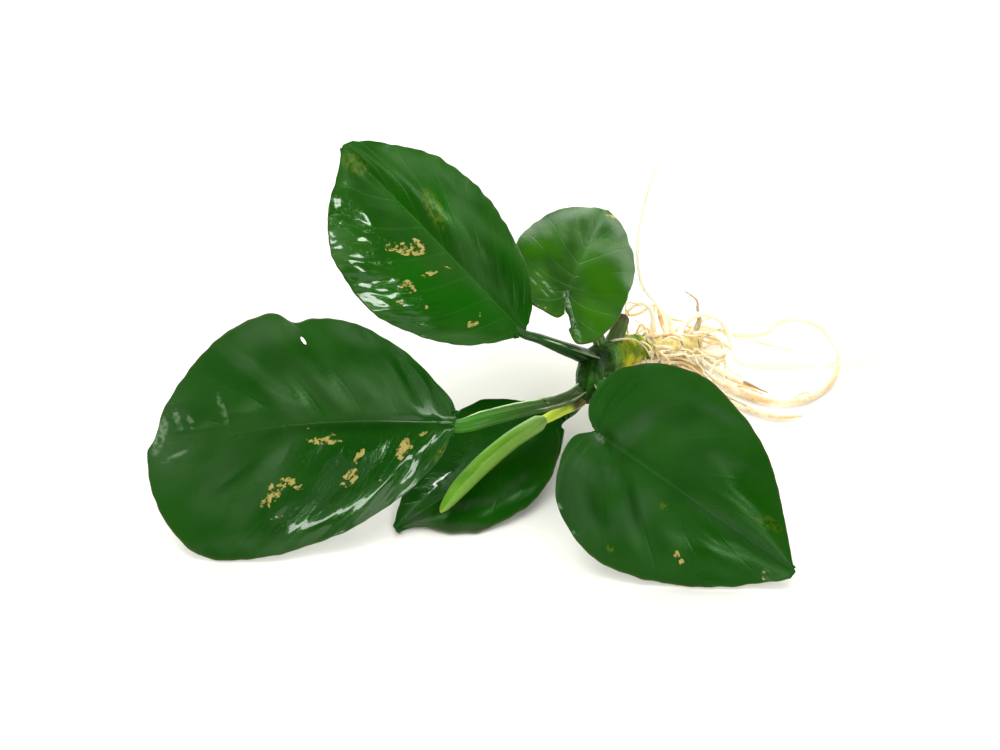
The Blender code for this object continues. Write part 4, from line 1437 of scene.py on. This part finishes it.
# %% Roots
# The main roots, as routes of (x, y, z, radius).
ROOTS = {
    "root_far_loop": [
        (42.5, 5.0, 5.0, 0.72), (46.5, 12.0, 5.2, 0.72), (50.0, 14.6, 4.2, 0.72),
        (54.5, 17.2, 2.4, 0.68), (58.5, 16.6, 1.3, 0.64), (64.0, 16.2, 1.3, 0.6),
        (67.5, 15.4, 3.4, 0.6), (69.5, 13.4, 7.0, 0.56), (73.5, 11.4, 8.8, 0.56),
        (78.5, 9.2, 8.0, 0.56), (81.5, 5.0, 5.6, 0.52), (82.5, 0.5, 4.6, 0.32),
    ],
    "root_near_loop": [
        (43.5, 4.5, 3.6, 0.8), (47.5, -0.4, 2.4, 0.8), (53.0, -5.6, 1.7, 0.8),
        (57.0, -9.0, 1.2, 0.76), (62.5, -12.6, 1.1, 0.72), (68.5, -13.6, 1.1, 0.72),
        (74.0, -11.6, 1.1, 0.68), (79.0, -6.6, 1.1, 0.64), (82.0, -0.6, 1.8, 0.56),
        (82.6, 4.4, 3.2, 0.32),
    ],
    "root_low": [
        (39.5, 0.5, 5.5, 0.76), (43.0, -5.0, 2.4, 0.76), (48.0, -8.6, 1.2, 0.72),
        (54.0, -12.6, 1.0, 0.68), (61.0, -17.6, 1.0, 0.64), (66.0, -19.6, 0.9, 0.56),
        (71.5, -19.2, 0.9, 0.32),
    ],
    "root_long": [
        (43.5, 5.0, 6.6, 0.9), (45.5, 9.0, 9.6, 0.8), (50.0, 10.6, 11.0, 0.75),
        (54.0, 11.6, 8.6, 0.7), (56.0, 12.0, 5.8, 0.7), (57.4, 9.6, 2.8, 0.65),
        (58.4, 6.0, 1.1, 0.60), (62.0, 3.6, 0.9, 0.55), (72.0, 3.4, 0.8, 0.50),
        (85.5, 4.6, 0.8, 0.45), (98.5, 6.0, 0.8, 0.3),
    ],
    "root_tall": [
        (40.8, 2.0, 8.0, 0.6), (40.0, 5.5, 13.0, 0.55), (37.5, 8.5, 16.0, 0.5),
        (34.6, 10.0, 19.4, 0.5), (33.4, 12.2, 25.0, 0.45), (33.4, 14.4, 31.0, 0.45),
        (34.6, 16.6, 37.0, 0.4), (36.0, 17.6, 43.0, 0.4), (38.2, 19.4, 48.0, 0.4),
        (41.0, 21.0, 50.6, 0.35), (45.0, 22.6, 51.0, 0.25),
    ],
    "root_arch": [
        (36.6, -4.0, 10.4, 0.7), (37.0, 0.6, 15.0, 0.6), (35.6, 2.4, 18.0, 0.55),
        (33.0, 2.2, 19.0, 0.5), (30.4, 0.0, 18.0, 0.35),
    ],
    "root_short": [
        (43.0, 4.6, 5.6, 0.7), (41.6, 8.4, 9.6, 0.6), (40.0, 11.4, 12.0, 0.5),
        (38.6, 13.8, 12.6, 0.35),
    ],
    "root_small_loop": [
        (45.6, 7.0, 2.9, 0.64), (50.6, 1.8, 2.0, 0.6), (54.6, -2.4, 1.4, 0.56),
        (58.6, -6.2, 1.4, 0.52), (62.0, -8.8, 0.9, 0.28),
    ],
    "root_stub": [
        (46.4, 8.2, 3.2, 0.68), (51.6, 4.2, 3.4, 0.64), (54.0, 1.0, 4.6, 0.6),
        (54.4, -1.0, 6.6, 0.32),
    ],
    "root_prop_front": [
        (30.5, -12.5, 14.0, 1.0), (32.0, -13.2, 8.0, 0.95), (33.4, -15.4, 3.0, 0.85),
        (36.4, -18.4, 0.9, 0.7), (41.0, -21.6, 0.8, 0.35),
    ],
    "root_prop_back": [
        (34.6, -6.8, 11.0, 1.0), (32.4, -3.4, 6.0, 0.9), (30.6, 0.4, 2.0, 0.8),
        (28.6, 4.6, 0.9, 0.65), (26.4, 9.0, 0.8, 0.35),
    ],
}
# Measured thin roots: the radius at the thick end, and a route of (x, y, z).
THIN_ROOTS = [
    (0.47, [
        (37.0, 6.0, 16.6), (33.8, 4.0, 15.3), (31.0, 1.0, 16.5),
        (30.1, -1.0, 18.9), (30.4, -6.0, 15.5),
    ]),
    (0.42, [(37.8, 9.0, 15.1), (37.2, 7.0, 12.6), (36.7, 4.0, 10.4), (37.7, 0.0, 9.5)]),
    (0.42, [(38.3, 9.0, 14.5), (39.1, 8.0, 10.8), (40.0, 6.0, 8.6), (40.8, 3.0, 8.8)]),
    (0.42, [(39.4, 10.0, 12.5), (40.2, 9.0, 9.1), (42.3, 7.0, 7.7), (43.9, 5.0, 7.5)]),
    (0.38, [
        (38.6, 10.0, 12.8), (41.9, 12.0, 8.9), (45.9, 13.0, 7.5),
        (48.7, 14.0, 8.3), (50.4, 13.0, 7.2),
    ]),
    (0.59, [
        (46.1, 8.0, 6.4), (49.2, 11.0, 8.4), (52.4, 14.0, 8.0),
        (54.5, 15.0, 6.8), (55.7, 12.0, 3.7),
    ]),
    (0.51, [
        (42.2, 8.0, 7.1), (45.3, 11.0, 7.5), (47.9, 12.0, 6.0),
        (51.0, 13.0, 6.0), (53.5, 13.0, 4.6),
    ]),
    (0.24, [(58.3, 13.0, 2.5), (65.5, 10.0, 2.6), (70.8, 7.0, 2.8), (77.9, 3.0, 3.0)]),
    (0.42, [(44.1, 6.0, 3.4), (47.2, 1.0, 3.7), (48.9, -3.0, 3.4), (51.0, -6.0, 2.2)]),
    (0.38, [(43.5, 4.0, 4.1), (46.6, -1.0, 3.8), (48.3, -3.0, 4.5), (50.1, -6.0, 2.6)]),
    (0.38, [
        (50.7, -5.0, 2.6), (51.5, -3.0, 4.5), (54.3, -1.0, 5.0),
        (54.4, -3.0, 4.0), (54.0, -6.0, 2.4),
    ]),
    (0.34, [(57.1, -8.0, 2.2), (58.6, -10.0, 3.1), (60.5, -11.0, 2.9), (62.8, -12.0, 2.4)]),
    (0.38, [(69.1, -14.0, 1.4), (70.7, -12.0, 1.5), (72.5, -11.0, 2.0), (74.3, -10.0, 1.3)]),
    (0.34, [(32.4, -5.0, 14.8), (33.7, -3.0, 16.5), (35.1, -4.0, 14.6), (35.7, -6.0, 13.4)]),
    (0.42, [(35.1, -9.0, 12.4), (37.6, -8.0, 12.0), (38.6, -7.0, 11.9), (39.7, -6.0, 10.4)]),
    (0.38, [(37.9, -8.0, 11.2), (38.1, -9.0, 10.1), (37.8, -10.0, 8.4)]),
    (0.31, [
        (25.4, -18.6, 21.4), (27.6, -18.4, 21.8), (30.0, -16.0, 20.4),
        (32.2, -14.2, 18.6), (34.2, -13.4, 16.2), (35.5, -12.8, 13.5),
    ]),
    (0.47, [
        (37.6, -10.4, 10.9), (36.9, -12.0, 15.2), (38.7, -10.8, 15.0),
        (40.8, -8.0, 12.4), (40.6, -7.4, 9.6),
    ]),
    (0.42, [
        (35.0, -12.6, 14.5), (37.6, -9.8, 12.8), (39.8, -7.4, 11.6),
        (42.6, -3.4, 8.6), (45.2, 0.2, 6.6),
    ]),
    (0.47, [
        (36.6, -6.4, 15.4), (39.4, -2.4, 13.2), (41.6, 1.4, 11.0),
        (43.9, 2.6, 9.2), (45.8, 1.8, 7.4),
    ]),
    (0.42, [(46.3, 1.7, 6.0), (47.6, 1.0, 4.0), (48.4, -3.0, 4.0), (50.4, -4.4, 3.0)]),
    (0.42, [(44.7, -0.2, 6.6), (46.2, -1.2, 4.6), (48.1, -2.8, 3.6), (49.7, -6.0, 3.5)]),
    (0.59, [
        (33.1, -14.1, 12.7), (36.7, -10.6, 11.0), (41.0, -5.4, 7.2),
        (44.9, -1.4, 4.2), (47.6, -3.4, 3.2), (51.2, -6.8, 2.3),
    ]),
    (0.38, [
        (38.6, -8.7, 10.7), (43.2, -2.5, 6.5), (46.2, -1.6, 4.6),
        (49.5, -3.8, 3.6), (52.2, -6.6, 2.9),
    ]),
    (0.42, [
        (43.5, -3.0, 4.5), (47.4, -6.0, 3.8), (51.4, -10.0, 2.8),
        (56.3, -14.0, 2.0), (60.0, -17.0, 1.6),
    ]),
    (0.30, [(33.2, -9.0, 14.0), (34.4, -7.0, 15.9), (36.3, -5.0, 13.8), (37.0, -6.0, 11.6)]),
    (0.26, [(30.4, -2.5, 17.0), (30.0, -2.4, 21.6), (32.0, -1.9, 21.6), (34.1, -1.5, 20.0)]),
]
# The random roots: how many, the seed that they grow from, and the way they are drawn down.
WILD_ROOT_COUNT = 70
WILD_ROOT_SEED = 11
WILD_ROOT_PULL = Vector((0.12, 0.0, -0.35))
# Wet roots let light through: how much of it, and how deep, in millimetres.
ROOT_GLOW = 0.6
ROOT_GLOW_DEPTH = 1.2
# Roots that have died back to brown threads: radii and routes, as for the thin roots.
DEAD_ROOTS = [
    (0.45, [(49.1, 10.3, 10.0), (48.6, 12.0, 11.5), (48.4, 14.6, 12.6), (45.6, 16.5, 14.0)]),
    (0.75, [(48.0, 8.6, 7.4), (48.9, 10.3, 9.0), (48.8, 12.0, 10.4), (48.5, 13.4, 11.6)]),
    (0.50, [
        (32.9, -14.2, 17.2), (34.2, -9.8, 16.9), (36.0, -8.2, 16.0),
        (36.5, -9.5, 15.3), (37.0, -10.5, 13.1),
    ]),
    (0.50, [(36.0, -12.0, 12.6), (38.6, -9.6, 11.0), (41.6, -5.8, 8.6)]),
    (0.60, [(51.0, -9.4, 2.6), (53.6, -11.4, 2.2), (56.4, -13.6, 1.8), (58.6, -16.2, 1.6)]),
    (0.40, [(58.6, -6.2, 2.2), (60.4, -7.8, 2.2), (62.4, -8.8, 1.6), (64.4, -9.6, 1.2)]),
]


def root_section(share, angle, radius, place):
    """A cord with soft knobs, a little uneven all round."""
    knobs = 0.22 * noise.noise(place / 2.4) + 0.10 * noise.noise(place / 0.9)
    return radius * (1.0 + knobs)


def root_skin(name, pale, tan, browning):
    """Cream roots that turn tan in clouds and brown in patches."""
    skin = Skin(name)
    place = skin.place()
    broad = skin.noise(place, 170.0, 3.0)
    fine = skin.noise(place, 1500.0, 4.0, 0.6)
    flesh = skin.mix(skin.rise(broad + (fine - 0.5) * 0.4, 0.38, 0.66), colour(*pale), colour(*tan))
    dead = skin.rise(skin.noise(place, 330.0, 4.0, 0.6), 0.70 - browning, 0.78 - browning)
    flesh = skin.mix(dead * 0.75, flesh, colour(0.200, 0.125, 0.055))
    skin.give(
        Base_Color=flesh,
        Subsurface_Weight=ROOT_GLOW,
        Subsurface_Radius=(1.0, 0.8, 0.6),
        Subsurface_Scale=ROOT_GLOW_DEPTH * MM,
        Roughness=0.5 + (fine - 0.5) * 0.2,
        Normal=skin.relief(fine, 0.15, 0.7),
    )
    return skin


def random_root(dice):
    """A thin root that leaves the rhizome's old half, bends down and wanders."""
    curve = smooth(RHIZOME, CURVE_STEPS)
    start = curve[int(dice.uniform(0.50, 0.97) * (len(curve) - 1))]
    turn = dice.uniform(-2.8, 2.8)
    forward = Vector((0.55, 0.62, -0.5)).normalized()
    side = Vector((0.0, 0.0, 1.0)).cross(forward).normalized()
    outward = forward.cross(side) * math.cos(turn) + side * math.sin(turn)
    heading = (outward + forward * dice.uniform(-0.1, 1.0)).normalized()
    place = start.xyz + outward * start.w * 0.7
    radius = dice.uniform(0.22, 0.42)
    steps = dice.randint(4, 9)
    route = []
    for step in range(steps):
        thinner = radius * (1.0 - 0.6 * step / steps)
        floor_height = thinner * 1.3
        route.append((place.x, place.y, max(place.z, floor_height), thinner))
        wander = Vector([dice.uniform(-0.8, 0.8) for _ in range(3)])
        heading = (heading + wander + WILD_ROOT_PULL).normalized()
        place = place + heading * dice.uniform(1.4, 2.6)
    return route


PALE_ROOT = root_skin("root_cream", (0.97, 0.90, 0.74), (0.92, 0.76, 0.50), 0.0)
TAN_ROOT = root_skin("root_tan", (0.95, 0.83, 0.60), (0.80, 0.56, 0.28), 0.07)
# A paler copy of the cream skin, painted lighter for the two roots that the light washes out.
WASHED_OUT_ROOT = root_skin("root_washed_out", (0.97, 0.95, 0.82), (0.95, 0.90, 0.70), -0.2)
DEAD_ROOT = root_skin("root_dead", (0.64, 0.54, 0.36), (0.36, 0.27, 0.15), 0.04)
ROOT_SKINS = {
    "root_far_loop": PALE_ROOT,
    "root_long": WASHED_OUT_ROOT,
    "root_tall": WASHED_OUT_ROOT,
    "root_arch": PALE_ROOT,
    "root_short": PALE_ROOT,
}
for name, route in ROOTS.items():
    piece = new_tube("detailed_" + name, route, root_section, around=16, spacing=0.35)
    hand_over(piece, [name], ROOT_SKINS.get(name, TAN_ROOT))


def join_tubes(name, tubes):
    """One piece out of several tubes."""
    bpy.ops.object.select_all(action="DESELECT")
    for tube in tubes:
        tube.select_set(True)
    bpy.context.view_layer.objects.active = tubes[0]
    bpy.ops.object.join()
    tubes[0].name = name
    return tubes[0]


def measured_roots(name, table, skin):
    """One piece out of a table of measured roots, which taper to half their radius."""
    tubes = []
    for thick, places in table:
        last = len(places) - 1
        route = [(*place, thick * (1.0 - 0.5 * index / last)) for index, place in enumerate(places)]
        tubes.append(new_tube("thin_root", route, root_section, around=10, spacing=0.4))
    hand_over(join_tubes(name, tubes), [], skin)


measured_roots("thin_roots", THIN_ROOTS, TAN_ROOT)
measured_roots("dead_roots", DEAD_ROOTS, DEAD_ROOT)

dice = random.Random(WILD_ROOT_SEED)
tubes = [
    new_tube("wild_root", random_root(dice), root_section, around=8, spacing=0.5)
    for _ in range(WILD_ROOT_COUNT)
]
hand_over(join_tubes("wild_roots", tubes), [], TAN_ROOT)

# %% [markdown]
# ## Sheath
#
# The foot of the left stalk is still wrapped in the sheath of an older leaf. It is a thin skin
# over the top half of the stalk, dry and frayed at its edges, so the grid is bent round the
# stalk and given a little thickness.

# %% Sheath
# Where it starts and ends on the stalk's foot, and how far round it reaches on each side.
SHEATH_STRETCH = (0.12, 0.42)
SHEATH_WRAP = math.radians(78.0)
SHEATH_THICKNESS = 0.12
SHEATH_CLEARANCE = 0.14
SHEATH_ROWS = 56
SHEATH_COLUMNS = 30


def model_sheath():
    """A frayed skin over the top of the left stalk."""
    curve = smooth(STALKS["stalk_left"].route[:6], CURVE_STEPS)
    total = curve_length(curve)
    rows = SHEATH_ROWS
    first, last = (share * total for share in SHEATH_STRETCH)
    stations = walked(curve, [first + (last - first) * row / rows for row in range(rows + 1)])
    frames = frames_along(stations)
    sheath = new_grid("detailed_sheath", rows, SHEATH_COLUMNS)
    for vertex in sheath.data.vertices:
        row = round((vertex.co.x + 1) / 2 * rows)
        across = vertex.co.y
        forward, side, up = frames[row]
        centre = stations[row]
        torn = 1.0 + 0.16 * noise.noise(Vector((row / 9.0, across, 3.0)))
        angle = across * SHEATH_WRAP * torn
        frill = 0.15 * abs(across) ** 6 + 0.08 * noise.noise(Vector((row / 9.0, across * 3.0, 0.0)))
        reach = centre.w + SHEATH_CLEARANCE + frill
        slip = 0.5 * noise.noise(Vector((across * 5.0, 7.0, 0.0))) * soft_step(row / rows, 0.5, 1.0)
        outward = up * math.cos(angle) + side * math.sin(angle)
        vertex.co = placed(centre.xyz + outward * reach + forward * slip)
    thicken = sheath.modifiers.new("thickness", "SOLIDIFY")
    thicken.thickness = SHEATH_THICKNESS * MM
    thicken.offset = 1.0
    bpy.ops.object.modifier_apply(modifier=thicken.name)
    return sheath


def sheath_skin():
    """Dark and see-through in the middle, pale along the fibres and at the edges."""
    skin = Skin("papery_sheath")
    along, around = skin.along_and_across()
    streaked = skin.grain(along * 2.0, around * 16.0)
    streaks = skin.noise(streaked, 1.2, 4.0, 0.6)
    edge = skin.rise(abs(around - 0.5), 0.36, 0.5)
    flesh = skin.mix(streaks, colour(0.006, 0.030, 0.004), colour(0.060, 0.085, 0.030))
    flesh = skin.mix(edge * 0.25 + skin.rise(streaks, 0.60, 0.66) * 0.7, flesh, colour(0.45, 0.48, 0.34))
    skin.give(
        Base_Color=flesh,
        Specular_Tint=colour(*WAX_TINT),
        Roughness=0.45 + streaks * 0.2,
        Normal=skin.relief(streaks, 0.15, 0.8),
    )
    return skin


hand_over(model_sheath(), ["sheath"], sheath_skin())
